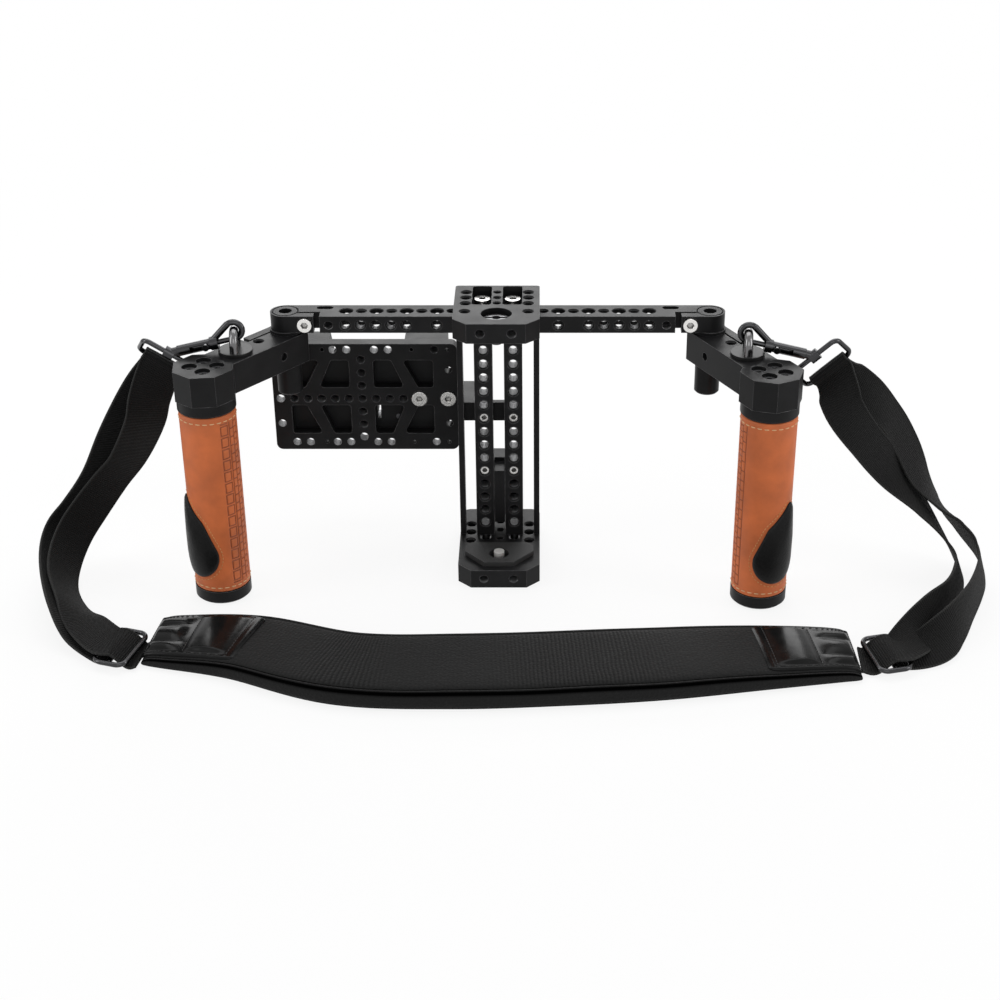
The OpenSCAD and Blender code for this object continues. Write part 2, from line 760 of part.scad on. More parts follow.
module arm_shape() {
  mid = arm_z + arm_t / 2;
  difference() {
    union() {
      translate([0, 0, arm_z]) linear_extrude(height = arm_t)
        polygon([
          [-arm_end, -arm_w / 2 + arm_corner], [-arm_end + arm_corner, -arm_w / 2],
          [arm_reach, -arm_w / 2], [arm_reach, arm_w / 2],
          [-arm_end + arm_corner, arm_w / 2], [-arm_end, arm_w / 2 - arm_corner]
        ]);
      translate([arm_reach, 0, arm_z]) rotate([0, 0, 22.5])
        cylinder(r = head_w / 2 / cos(22.5), h = arm_t, $fn = 8);
    }
    translate([0, 0, arm_z - eps]) cylinder(r = rod_d / 2 + run_gap, h = arm_t + 2 * eps);
    translate([0, arm_slit_v, arm_z - eps]) cube([arm_notch_u + arm_notch_w, arm_slit_w, arm_t + 2 * eps]);
    translate([arm_notch_u, arm_slit_v, arm_z - eps]) cube([arm_notch_w, arm_w, arm_t + 2 * eps]);
    bore_y(arm_screw_u, -arm_w, mid, screw_r + screw_gap, 2 * arm_w);
    bore_y(arm_screw_u, arm_w / 2 - head_recess, mid, head_r + 0.4, head_recess + 1);
    tapped_z(arm_hole[0], arm_hole[1], arm_top, arm_hole_d);
    translate([eye_u, 0, arm_top - eye_shank_l - 1]) cylinder(r = eye_shank_r + screw_gap, h = eye_shank_l + 2);
    for (a = [-1, 1], b = [-1, 1])
      translate([arm_reach + a * head_hole, b * head_hole, arm_z - eps]) {
        cylinder(r = screw_r + screw_gap, h = arm_t + 2 * eps);
        translate([0, 0, arm_t - 6 + eps]) cylinder(r = head_r + 0.25, h = 6 + eps);
      }
  }
}

module arm(s) {
  color([0.17, 0.17, 0.18])
  place_arm(s) arm_shape();
}

module arm_screw(s) {
  color([0.25, 0.25, 0.26])
  place_arm(s)
    translate([arm_screw_u, arm_w / 2 - head_recess, arm_z + arm_t / 2])
      rotate([-90, 0, 0]) cap_screw(arm_w - 5);
}

module head_screws(s) {
  color([0.2, 0.2, 0.2])
  place_arm(s)
    for (a = [-1, 1], b = [-1, 1])
      translate([arm_reach + a * head_hole, b * head_hole, arm_top - 6]) cap_screw(arm_t - 6 + 12);
}

module grip_core(s) {
  color([0.4, 0.4, 0.41])
  place_arm(s) translate([arm_reach, 0, 0])
  difference() {
    translate([0, 0, cap_h]) cylinder(r = grip_core_r, h = arm_z - cap_h);
    for (a = [-1, 1], b = [-1, 1])
      translate([a * head_hole, b * head_hole, arm_z - 13]) cylinder(r = screw_r + screw_gap, h = 14);
    translate([0, 0, cap_h - eps]) cylinder(r = pin_r + screw_gap, h = 10.5);
  }
}

module collar(s) {
  color([0.12, 0.12, 0.13])
  place_arm(s) translate([arm_reach, 0, grip_top])
  difference() {
    union() {
      translate([0, 0, 1]) cylinder(r = collar_r, h = collar_h - 1);
      cylinder(r1 = collar_r - 1, r2 = collar_r, h = 1.01);
    }
    translate([0, 0, -eps]) cylinder(r = grip_core_r, h = collar_h + 2 * eps);
  }
}

module leather(s) {
  color([0.62, 0.32, 0.15])
  place_arm(s) translate([arm_reach, 0, cap_h])
  difference() {
    cylinder(r = grip_d / 2, h = grip_top - cap_h);
    translate([0, 0, -eps]) cylinder(r = grip_core_r, h = grip_top - cap_h + 2 * eps);
  }
}

module end_cap(s) {
  color([0.12, 0.12, 0.13])
  place_arm(s) translate([arm_reach, 0, 0]) {
    cylinder(r1 = grip_d / 2 - 0.8, r2 = grip_d / 2 + 0.2, h = 1.01);
    translate([0, 0, 1]) cylinder(r = grip_d / 2 + 0.2, h = cap_h - 1);
    translate([0, 0, cap_h - 0.1]) cylinder(r = pin_r, h = 9.6);
  }
}

// Four corners between two circles, just inside their common tangents
function between(a, b) = let (
    d = [b[0] - a[0], b[1] - a[1]], u = d / norm(d), v = [-u[1], u[0]],
    sn = (a[2] - b[2]) / norm(d), cs = sqrt(1 - sn * sn), k = 0.995)
  [for (c = [[a, 1], [b, 1], [b, -1], [a, -1]])
    [c[0][0], c[0][1]] + k * c[0][2] * (sn * u + c[1] * cs * v)];

// Teardrop pad wrapped on the front outer quarter of the grip
module thumb_pad(s) {
  turn = s < 0 ? left_turn - left_thumb : right_turn - right_thumb;
  color([0.08, 0.08, 0.08])
  place_arm(s) translate([arm_reach, 0, 0])
  intersection() {
    difference() {
      cylinder(r = grip_d / 2 + thumb_t, h = arm_z);
      translate([0, 0, -eps]) cylinder(r = grip_d / 2 + 0.02, h = arm_z + 1);
    }
    rotate([0, 0, -turn]) rotate([90, 0, 90]) union() {
      for (c = thumb_drop)
        translate([c[0], c[1], 0]) cylinder(r = c[2], h = grip_d);
      linear_extrude(height = grip_d) polygon(between(thumb_drop[0], thumb_drop[1]));
      linear_extrude(height = grip_d) polygon(between(thumb_drop[1], thumb_drop[2]));
    }
  }
}

module left_arm() {
  arm(-1);
}

module right_arm() {
  arm(1);
}

module left_arm_screw() {
  arm_screw(-1);
}

module right_arm_screw() {
  arm_screw(1);
}

module left_head_screws() {
  head_screws(-1);
}

module right_head_screws() {
  head_screws(1);
}

module left_core() {
  grip_core(-1);
}

module right_core() {
  grip_core(1);
}

module left_collar() {
  collar(-1);
}

module right_collar() {
  collar(1);
}

module left_leather() {
  leather(-1);
}

module right_leather() {
  leather(1);
}

module left_end_cap() {
  end_cap(-1);
}

module right_end_cap() {
  end_cap(1);
}

module left_thumb_pad() {
  thumb_pad(-1);
}

module right_thumb_pad() {
  thumb_pad(1);
}

// Eye bolts, snap hooks and strap loops

function unit(v) = v / norm(v);
function turned(az, el) = [cos(el) * cos(az), cos(el) * sin(az), sin(el)];

// Centre of the eye bolt on each arm
function eye_at(s) = let (t = s < 0 ? left_turn : right_turn)
  [s * (rod_x + eye_u * sin(t)), axis_y - eye_u * cos(t), arm_top];

// Directions along the hook and across it, upward
function hook_dir(s) =
  [-s * cos(hook_pitch) * cos(hook_turn), cos(hook_pitch) * sin(hook_turn), sin(hook_pitch)];
function hook_up(s) =
  [s * sin(hook_pitch) * cos(hook_turn), -sin(hook_pitch) * sin(hook_turn), cos(hook_pitch)];

// Start of each hook, where the strap loop turns in it
function hook_start(s) = eye_at(s) + [0, 0, eye_z - arm_top + eye_ring_r]
  - hook_ring_u * hook_dir(s) - hook_bend_r * hook_up(s);

// Frame of each strap loop: along its bar, from the bar to the hook, and out of its plane
function loop_turn(s) = s < 0 ? left_loop : right_loop;
function loop_b(s) = turned(loop_turn(s)[2], loop_turn(s)[1]);
function loop_h(s) = [-sin(loop_turn(s)[2]), cos(loop_turn(s)[2]), 0];
function loop_p(s) = cos(loop_turn(s)[0]) * loop_h(s)
  + sin(loop_turn(s)[0]) * cross(loop_b(s), loop_h(s));
function bar_at(s) = hook_start(s) - loop_d * loop_p(s);

module place_hook(s) {
  mirror([s > 0 ? 1 : 0, 0, 0])
    translate([-abs(hook_start(s)[0]), hook_start(s)[1], hook_start(s)[2]])
      rotate([0, -hook_pitch, hook_turn]) rotate([90, 0, 0]) children();
}

module place_loop(s) {
  t = loop_turn(s);
  translate(bar_at(s)) rotate([t[0], -t[1], t[2]]) children();
}

module eye_bolt(s) {
  e = eye_at(s);
  color([0.3, 0.3, 0.31])
  translate(e) {
    cylinder(r = eye_base_r, h = eye_base_h);
    translate([0, 0, -eye_shank_l]) cylinder(r = eye_shank_r, h = eye_shank_l + 0.1);
    rotate([0, 0, 90 - s * hook_turn]) {
      translate([0, 0, eye_z - arm_top]) rotate([90, 0, 0])
        rotate_extrude(angle = 180) translate([eye_ring_r, 0]) circle(r = eye_wire_r);
      for (a = [-1, 1])
        translate([a * eye_ring_r, 0, eye_base_h - 1])
          cylinder(r = eye_wire_r, h = eye_z - arm_top - eye_base_h + 1);
    }
  }
}

// The knuckle of the hook lies along the strap loop's upper wire
module hook(s) {
  t = loop_turn(s);
  color([0.33, 0.33, 0.34])
  difference() {
    union() {
      place_hook(s) {
        translate([barrel_from, 0, 0]) rotate([0, 90, 0]) cylinder(r = 2.6, h = 5);
        translate([barrel_from + 3, 0, 0]) rotate([0, 90, 0])
          cylinder(r = barrel_r, h = barrel_to - barrel_from - 4);
        translate([barrel_to - hook_head_l, 0, 0]) rotate([0, 90, 0])
          cylinder(r = hook_head_r, h = hook_head_l);
        translate([hook_u, hook_bend_r, 0]) rotate([0, 0, -90])
          rotate_extrude(angle = 90 + hook_close) translate([hook_bend_r, 0]) circle(r = hook_wire_r);
        translate([hook_u, hook_bend_r, 0]) rotate([0, 0, hook_close]) translate([hook_bend_r, -0.6, 0])
          rotate([-90, 0, 0]) cylinder(r = hook_wire_r + 0.2, h = hook_leg + 0.6);
      }
      translate(hook_start(s)) rotate([t[0], -t[1], t[2]]) translate([-knuckle_w / 2, 0, 0])
        rotate([0, 90, 0]) cylinder(r = knuckle_r, h = knuckle_w);
    }
    place_hook(s) {
      translate([gate_bore_from, 0, 0]) rotate([0, 90, 0]) cylinder(r = gate_r + run_gap, h = barrel_to);
      translate([nub_u - gate_open - nub_slot_w / 2, -nub_slot_w / 2, 0])
        cube([gate_open + nub_slot_w, nub_slot_w, barrel_r + 1]);
    }
    translate(hook_start(s)) rotate([t[0], -t[1], t[2]]) translate([-loop_bore_w / 2, 0, 0])
      rotate([0, 90, 0]) cylinder(r = loop_wire_r + run_gap, h = loop_bore_w);
  }
}

module gate(s) {
  color([0.45, 0.45, 0.46])
  place_hook(s) {
    translate([gate_from, 0, 0]) rotate([0, 90, 0]) cylinder(r = gate_r, h = gate_to - gate_from);
    translate([nub_u, 0, 0]) cylinder(r = nub_r, h = nub_h);
    translate([nub_u, 0, barrel_r + 0.4]) cylinder(r = nub_head_r, h = nub_h - barrel_r);
  }
}

module loop_ring(s) {
  color([0.33, 0.33, 0.34])
  place_loop(s) wire_ring(loop_w, loop_d, loop_wire_r, loop_corner);
}

module left_eye_bolt() {
  eye_bolt(-1);
}

module right_eye_bolt() {
  eye_bolt(1);
}

module left_hook() {
  hook(-1);
}

module right_hook() {
  hook(1);
}

module left_gate() {
  gate(-1);
}

module right_gate() {
  gate(1);
}

module left_loop_ring() {
  loop_ring(-1);
}

module right_loop_ring() {
  loop_ring(1);
}

// Strap. Each webbing run is listed from the loop down to the pad:
// place of the centre line, then heading and lift of the width direction
left_front = [
  [-206, -22, 117, 18, -28], [-211, -20, 100, 32, -30], [-225, -12, 73, 40, -30],
  [-238, -12, 57, 38, -32], [-250, -18, 42, 32, -38], [-259, -28, 30, 28, -45],
  [-263, -43, 20, 24, -50], [-261, -60, 14, 25, -50], [-251, -81, 11, 35, -40],
  [-239, -100, 9.5, 52, -5], [-224.1, -117.8, 9.2, 72, 5], [-215.1, -120.8, 9.2, 72, 5],
  [-205.9, -123.2, 2.5, 72, 4.8], [-201.9, -124, 3, 80, 2]
];
left_back = [
  [-213, -11, 117, 20, -30], [-231, -8, 88, 38, -28], [-245, -8, 60, 42, -26],
  [-259, -11, 39, 38, -30], [-269, -19, 26, 30, -42], [-271, -36, 18, 25, -50],
  [-265, -62, 14, 25, -50], [-253, -90, 11, 35, -38], [-240, -106, 5, 50, -10],
  [-224, -117.3, 2.4, 72, 5], [-218, -119.3, 2.4, 72, 5]
];
right_front = [
  [203, -36, 117, 22, 22], [219, -34, 94, 36, -2], [241, -24, 66, 38, -20],
  [258, -23, 46, 38, -35], [269, -27, 32, 36, -48], [276, -35, 22, 35, -58],
  [279, -47, 16, 35, -66], [275, -62, 14, 35, -70], [266, -80, 14, 35, -70],
  [254, -97, 14, -35, -63], [243, -112, 11, -66, -31], [231.8, -125, 9.2, -76, -5],
  [222.6, -127.3, 9.2, -76, -5], [213.2, -129, 2.6, -76, -4.8], [207.2, -129, 3, -88, -2]
];
right_back = [
  [206, -19, 128, 16, 30], [221, -17, 117, 34, 8], [235, -14, 102, 45, -10],
  [247, -12, 82, 42, -18], [258, -13, 60, 40, -30], [270, -16, 44, 40, -42],
  [283, -19, 30, 40, -55], [293, -28, 19, 40, -63], [294, -42, 14, 40, -68],
  [289, -60, 14, 40, -70], [278, -85, 14, 30, -70], [265, -107, 13, -20, -62],
  [250, -121, 7.8, -62, -32], [231.7, -124.4, 2.6, -76, -5], [225.3, -126, 2.6, -76, -5]
];
// Places of the loop bars that the runs were laid out for
left_nominal = [-196.7, -16.9, 138.3];
right_nominal = [194.4, -25.3, 137.5];
wrap_r = loop_wire_r + web_t / 2 + 0.35;
web_steps = 3;
web_free = 10;

function spline(a, b, c, d, t) = 0.5 * (2 * b + (c - a) * t
  + (2 * a - 5 * b + 4 * c - d) * t * t + (3 * b - a - 3 * c + d) * t * t * t);
function at(list, i) = list[max(0, min(len(list) - 1, i))];
function smooth(list, steps) = concat(
  [for (i = [0 : len(list) - 2], k = [0 : steps - 1])
    spline(at(list, i - 1), list[i], list[i + 1], at(list, i + 2), k / steps)],
  [list[len(list) - 1]]);
function reversed(list) = [for (i = [len(list) - 1 : -1 : 0]) list[i]];

// Runs follow the loop when the frame is resized, less and less toward the floor
function laid(run, move) = [for (i = [0 : len(run) - 1])
  let (w = pow(1 - i / (len(run) - 1), 2), r = run[i])
  concat([r[0], r[1], r[2]] + w * move, turned(r[3], r[4]))];

// Turn of the webbing round the bar of the loop, both layers hanging from it
function wrapped(s) = let (c = bar_at(s), b = loop_b(s), p = unit([0, 0, 1] - b[2] * b), n = cross(b, p))
  [for (q = [n * wrap_r - 5 * p, n * wrap_r, (n + p) * wrap_r * 0.72, p * wrap_r,
             (p - n) * wrap_r * 0.72, -n * wrap_r, -n * wrap_r - 5 * p]) concat(c + q, b)];

function web_route(s) = let (
    move = bar_at(s) - (s < 0 ? left_nominal : right_nominal),
    front = laid(s < 0 ? left_front : right_front, move),
    back = laid(s < 0 ? left_back : right_back, move))
  smooth(concat(reversed(front), wrapped(s), back), web_steps);

// Four corners of the webbing at the station i of a route. The width lies
// along the bar beside it and square to the run farther away
function web_ring(route, i, bar) = let (
    a = at(route, i - 1), b = at(route, i + 1), r = route[i],
    t = unit([b[0] - a[0], b[1] - a[1], b[2] - a[2]]),
    c = [r[0], r[1], r[2]],
    k = max(0, min(1, (norm(c - bar) - web_free) / web_free)),
    w0 = [r[3], r[4], r[5]], w = unit(w0 - k * (w0 * t) * t), n = unit(cross(t, w)))
  [c - w * web_w / 2 - n * web_t / 2, c + w * web_w / 2 - n * web_t / 2,
   c + w * web_w / 2 + n * web_t / 2, c - w * web_w / 2 + n * web_t / 2];

// Closed skin over rings of m points each
function skin_faces(count, m) = concat(
  [for (i = [0 : count - 2], k = [0 : m - 1]) each [
    [i * m + k, (i + 1) * m + (k + 1) % m, i * m + (k + 1) % m],
    [i * m + k, (i + 1) * m + k, (i + 1) * m + (k + 1) % m]]],
  [for (k = [1 : m - 2]) [0, k, k + 1]],
  [for (k = [1 : m - 2]) [(count - 1) * m, (count - 1) * m + k + 1, (count - 1) * m + k]]);

module skin(rings) {
  m = len(rings[0]);
  polyhedron(points = [for (r = rings) each r], faces = skin_faces(len(rings), m), convexity = 8);
}

module webbing(s) {
  route = web_route(s);
  color([0.09, 0.09, 0.09])
  skin([for (i = [0 : len(route) - 1]) web_ring(route, i, bar_at(s))]);
}

module left_webbing() {
  webbing(-1);
}

module right_webbing() {
  webbing(1);
}

// Neck pad: middle of the pad, width share and thickness share along its length
pad_line = [
  [-199, -108, 0.76, 0.36], [-185, -110, 0.82, 0.55], [-141, -119, 0.92, 0.8], [-84, -142, 0.97, 0.97],
  [-24, -145, 1, 1], [36, -142, 1, 1], [92, -137, 0.98, 0.97], [150, -129, 0.9, 0.8],
  [191, -124, 0.82, 0.55], [205, -123, 0.78, 0.36]
];
pad_steps = 3;
pad_route = smooth(pad_line, pad_steps);
// Section of the pad: share of the half width, share of the thickness
pad_section = [
  [-0.93, 0], [0.93, 0], [0.99, 0.18], [1, 0.42], [0.985, 0.68], [0.92, 0.86], [0.75, 0.93],
  [0.4, 0.985], [0, 1], [-0.4, 0.985], [-0.75, 0.93], [-0.92, 0.86], [-0.985, 0.68], [-1, 0.42], [-0.99, 0.18]
];

function pad_across(i) = let (a = at(pad_route, i - 1), b = at(pad_route, i + 1),
    t = unit([b[0] - a[0], b[1] - a[1]])) [-t[1], t[0]];
function pad_point(i, q, lift) = let (r = pad_route[i], v = pad_across(i), w = pad_w / 2 * r[2] * q[0])
  [r[0] + v[0] * w, r[1] + v[1] * w, pad_t * r[3] * q[1] + lift];

module strap_pad() {
  color([0.1, 0.1, 0.1])
  skin([for (i = [0 : len(pad_route) - 1]) [for (q = pad_section) pad_point(i, q, 0)]]);
}

// Patch over the stations i0 to i1 of the pad, on its upper face
patch_t = 1.6;
patch_gap = 0.05;
patch_line = [[-0.75, 0.93], [-0.4, 0.985], [0, 1], [0.4, 0.985], [0.75, 0.93]];

module patch(i0, i1) {
  color([0.06, 0.06, 0.06])
  skin([for (i = [i0 : i1]) concat(
    [for (q = patch_line) pad_point(i, q, patch_gap)],
    [for (q = reversed(patch_line)) pad_point(i, q, patch_gap + patch_t)])]);
}

module left_patch() {
  patch(0, 6);
}

module right_patch() {
  patch(len(pad_route) - 7, len(pad_route) - 1);
}

// Three-bar sliders on the webbing
slider_w = 31;
slider_d = 19;
slider_wire_r = 1.5;
left_slider_at = [-215, -120.5, 5.9];
left_slider_turn = [0, -5, 72];
right_slider_at = [222.5, -127, 5.9];
right_slider_turn = [0, -5, 104];

module slider(at_point, angles) {
  color([0.3, 0.3, 0.31])
  translate(at_point) rotate(angles) {
    translate([0, -slider_d / 2, 0]) wire_ring(slider_w, slider_d, slider_wire_r, 5);
    translate([-slider_w / 2, 0, 0]) rotate([0, 90, 0]) cylinder(r = slider_wire_r, h = slider_w);
  }
}

module left_slider() {
  slider(left_slider_at, left_slider_turn);
}

module right_slider() {
  slider(right_slider_at, right_slider_turn);
}

crossbar();
left_bar();
right_bar();
side_rails();
left_rod();
right_rod();
rod_spacers();
clamp_screws();
bar_end_screws();
bar_set_screws();
bracket();
side_plate();
plate_screws();
battery_slide();
slide_screws();
contact_block();
release_latch();
rear_block();
top_plate();
top_screw();
bottom_plate();
bottom_pad();
bottom_screw();
left_arm();
left_arm_screw();
left_head_screws();
left_core();
left_collar();
left_leather();
left_end_cap();
left_thumb_pad();
left_eye_bolt();
left_hook();
left_gate();
left_loop_ring();
right_arm();
right_arm_screw();
right_head_screws();
right_core();
right_collar();
right_leather();
right_end_cap();
right_thumb_pad();
right_eye_bolt();
right_hook();
right_gate();
right_loop_ring();
strap_pad();
left_patch();
right_patch();
left_slider();
right_slider();
left_webbing();
right_webbing();
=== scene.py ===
"""Looks of a monitor cage with two leather hand grips and a padded neck strap."""

import math

import bpy
import numpy as np
from bpy.props import FloatProperty, FloatVectorProperty, PointerProperty
from bpy.types import Operator, Panel, PropertyGroup
from mathutils.bvhtree import BVHTree
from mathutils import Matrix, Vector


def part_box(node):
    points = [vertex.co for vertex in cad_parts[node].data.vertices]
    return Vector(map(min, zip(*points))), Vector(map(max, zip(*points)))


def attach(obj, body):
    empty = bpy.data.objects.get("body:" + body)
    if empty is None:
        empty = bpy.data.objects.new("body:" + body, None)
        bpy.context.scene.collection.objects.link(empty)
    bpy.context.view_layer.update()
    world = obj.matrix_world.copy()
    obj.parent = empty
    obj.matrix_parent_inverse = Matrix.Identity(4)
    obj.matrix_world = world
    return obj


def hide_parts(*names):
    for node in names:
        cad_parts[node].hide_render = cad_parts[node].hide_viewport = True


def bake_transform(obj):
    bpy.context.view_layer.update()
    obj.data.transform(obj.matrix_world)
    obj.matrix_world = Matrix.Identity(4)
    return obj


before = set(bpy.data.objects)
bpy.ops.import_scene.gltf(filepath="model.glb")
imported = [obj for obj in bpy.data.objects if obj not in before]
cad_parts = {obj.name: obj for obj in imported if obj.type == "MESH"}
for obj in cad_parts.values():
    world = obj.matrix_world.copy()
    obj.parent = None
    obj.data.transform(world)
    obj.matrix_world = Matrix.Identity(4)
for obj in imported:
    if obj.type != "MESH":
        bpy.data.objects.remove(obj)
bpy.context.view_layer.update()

bl_info = {
    "name": "Monitor Cage",
    "version": (1, 0, 0),
    "blender": (4, 5, 0),
    "location": "View3D > Sidebar > Cage",
    "description": "Metal finishes, leather grips, neck strap and studio stage of a monitor cage",
    "category": "Object",
}

MM = 0.001
SIDES = ("left", "right")
# Edges that bend more than this stay sharp
SHARP = math.radians(60)

# Which CAD nodes carry which metal, plastic or rubber finish
BLACK_METAL = (
    "crossbar", "left_bar", "right_bar", "side_rails", "left_rod", "right_rod", "rod_spacers",
    "bracket", "side_plate", "battery_slide", "rear_block", "top_plate", "bottom_plate",
    "left_arm", "right_arm", "left_core", "right_core", "left_collar", "right_collar",
    "left_end_cap", "right_end_cap",
)
BRIGHT_STEEL = ("clamp_screws", "bar_end_screws", "bar_set_screws", "plate_screws")
BLACK_STEEL = (
    "slide_screws", "release_latch", "left_arm_screw", "right_arm_screw",
    "left_head_screws", "right_head_screws",
)
GUNMETAL = (
    "top_screw", "left_slider", "right_slider", "left_hook", "right_hook", "left_gate", "right_gate",
    "left_loop_ring", "right_loop_ring",
)
EYE_BOLTS = ("left_eye_bolt", "right_eye_bolt")

# Nodes with tapped holes, and the widths of those holes
TAPPED = ("crossbar", "left_bar", "right_bar", "side_plate", "top_plate", "bottom_plate")
TAPPED_W = (5.3 * MM, 5.0 * MM)
# Test for such a hole: start off its wall, farthest far wall, and slack of the width
BORE_START = 0.02 * MM
BORE_REACH = 10 * MM
BORE_SLACK = 0.15 * MM
# Bar end screws below this height are black
BLACK_ENDS = 50 * MM

# Strap loops: place of the bar and direction along it
LOOPS = {
    "left": ((-196.689, -16.925, 138.266), (0.847757, -0.022199, -0.529919)),
    "right": ((194.38, -25.316, 137.512), (0.743145, 0, 0.669131)),
}

# Webbing runs from the loop to the floor: place, heading and lift of the width direction
FRONT_RUN = {
    "left": [
        (-206, -22, 117, 18, -28), (-211, -20, 100, 32, -30), (-225, -12, 73, 40, -30),
        (-238, -12, 57, 38, -32), (-250, -18, 42, 32, -38), (-259, -28, 30, 28, -45),
        (-263, -43, 20, 24, -50), (-261, -60, 14, 25, -50), (-251, -81, 11, 35, -40),
        (-239, -100, 9.5, 52, -5), (-224.1, -117.8, 9.2, 72, 5), (-215.1, -120.8, 9.2, 72, 5),
        (-205.9, -123.2, 2.5, 72, 4.8), (-201.9, -124, 3, 80, 2),
    ],
    "right": [
        (203, -36, 117, 22, 22), (219, -34, 94, 36, -2), (241, -24, 66, 38, -20),
        (258, -23, 46, 38, -35), (269, -27, 32, 36, -48), (276, -35, 22, 35, -58),
        (279, -47, 16, 35, -66), (275, -62, 14, 35, -70), (266, -80, 14, 35, -70),
        (254, -97, 14, -35, -63), (243, -112, 11, -66, -31), (231.8, -125, 9.2, -76, -5),
        (222.6, -127.3, 9.2, -76, -5), (213.2, -129, 2.6, -76, -4.8), (207.2, -129, 3, -88, -2),
    ],
}
BACK_RUN = {
    "left": [
        (-213, -11, 117, 20, -30), (-231, -8, 88, 38, -28), (-245, -8, 60, 42, -26),
        (-259, -11, 39, 38, -30), (-269, -19, 26, 30, -42), (-271, -36, 18, 25, -50),
        (-265, -62, 14, 25, -50), (-253, -90, 11, 35, -38), (-240, -106, 5, 50, -10),
        (-224, -117.3, 2.4, 72, 5), (-218, -119.3, 2.4, 72, 5),
    ],
    "right": [
        (206, -19, 128, 16, 30), (221, -17, 117, 34, 8), (235, -14, 102, 45, -10),
        (247, -12, 82, 42, -18), (258, -13, 60, 40, -30), (270, -16, 44, 40, -42),
        (283, -19, 30, 40, -55), (293, -28, 19, 40, -63), (294, -42, 14, 40, -68),
        (289, -60, 14, 40, -70), (278, -85, 14, 30, -70), (265, -107, 13, -20, -62),
        (250, -121, 7.8, -62, -32), (231.7, -124.4, 2.6, -76, -5), (225.3, -126, 2.6, -76, -5),
    ],
}
# Points for each station, and the station past the loop where a run is cut from the turn
RUN_STEPS = 8
SPLIT_STATION = 1
# Turn round the bar: radius, share of it at the corners, and straight tail at both ends
WRAP_R = 2.75
WRAP_CORNER = 0.72
WRAP_TAIL = 5
# How far from the bar the width starts to square with the run
WEB_FREE = 10
# Section of the webbing: share of the half width, share of the half thickness
WEB_SECTION = [
    (-1, 0.3), (-0.985, 0.75), (-0.95, 1), (-0.9, 0.86), (-0.6, 0.96), (-0.3, 1), (0, 1), (0.3, 1),
    (0.6, 0.96), (0.9, 0.86), (0.95, 1), (0.985, 0.75), (1, 0.3),
]

# Neck pad: middle of the pad, width share and thickness share along its length
PAD_LINE = [
    (-199, -108, 0.76, 0.36), (-185, -110, 0.82, 0.55), (-141, -119, 0.92, 0.8), (-84, -142, 0.97, 0.97),
    (-24, -145, 1, 1), (36, -142, 1, 1), (92, -137, 0.98, 0.97), (150, -129, 0.9, 0.8),
    (191, -124, 0.82, 0.55), (205, -123, 0.78, 0.36),
]
PAD_STEPS = 10
# Half section of the pad from its underside to its middle: share of half width, share of thickness
PAD_HALF = [
    (0.5, 0), (0.88, 0), (0.95, 0.05), (0.99, 0.16), (1.005, 0.32), (1.005, 0.5), (0.992, 0.66),
    (0.968, 0.78), (0.938, 0.855), (0.91, 0.87), (0.888, 0.83), (0.872, 0.79), (0.856, 0.83),
    (0.835, 0.885), (0.78, 0.925), (0.66, 0.957), (0.5, 0.98), (0.25, 0.995),
]
# Ends of the pad: length that is rounded in millimetres, and shares of width and thickness at the tip
PAD_ROUND = 5
PAD_TIP_W = 0.95
PAD_TIP_T = 0.55
# Slow waves of the pad's top
PAD_SAG = 0.25 * MM

# Patches: stretch of the pad line from the pad's end inward, in stations, and share of the half width
PATCH_SPAN = {"left": (0.0, 2.0), "right": (9.0, 7.0)}
PATCH_HALF = 0.82
# Points of a patch inward and across, and its length and half width in millimetres
PATCH_GRID = (57, 61)
PATCH_SIZE = (48, 24)
# Edge of a patch: rounding in millimetres, share of the thickness at the rim, and sink into the pad
PATCH_ROUND = 1.6
PATCH_RIM = 0.35
PATCH_SINK = 0.3 * MM
# Share of the length that rounds the inner corners, and share that drops to the pad's end
PATCH_CORNER = 0.1
PATCH_DROP = 0.12
# Raised forms: rib, lobes with middle, half width and rise, their stretch, and how softly they end
RIB_AT = 0.8
RIB_HALF = 0.14
RIB_SIDE = 0.88
LOBES = ((-0.62, 0.2, 0.7), (0, 0.42, 1.0), (0.62, 0.2, 0.7))
LOBE_SPAN = (0.08, 0.63)
FADE = 0.14
# Stitches of a patch: inset inward and across, counts, and the row between lobes and rib
SEWN_INSET = (0.055, 0.91)
SEWN_LONG = 17
SEWN_WIDE = 18
SEWN_ROW = 16
SEWN_ROW_AT = (0.645, 0.8)

# Grips: headings of the block column, the thumb pad and the seam round the grip, in degrees
COLUMN_AT = {"left": 313.0, "right": 165.0}
THUMB_AT = {"left": 227.0, "right": 298.0}
SEAM_AT = {"left": 75.0, "right": 105.0}
# Way round the grip in which the thumb pad leans
TURN = {"left": 1.0, "right": -1.0}
# Mesh of the leather: fine columns beside the block column, coarse columns, and rows
FINE_COLUMNS = (-3.8, 15.5, 0.35)
COARSE_COLUMNS = 74
LEATHER_ROWS = 270
# Ends of the leather: rounded length, how far they pull in, and the bore
LEATHER_RIM = 1.4 * MM
LEATHER_PULL = 0.9 * MM
LEATHER_BORE = 11 * MM
# Seam: depth as a share of the pressed lines, half width, and its stitches beside it
SEAM_DEPTH = 1.2
SEAM_HALF = 0.9 * MM
SEAM_STITCH = 2.4 * MM
SEAM_ENDS = (7 * MM, 6 * MM)
# Rings of stitches above the lower end and below the upper end
RING_STITCH = (3 * MM, 3.6 * MM)
# Pressed pattern: blocks, their half width and half gap, and the plain margin at both ends
BLOCKS = 14
BLOCK_HALF = 2.3 * MM
BLOCK_GAP = 0.75 * MM
BLOCK_MARGIN = 6 * MM
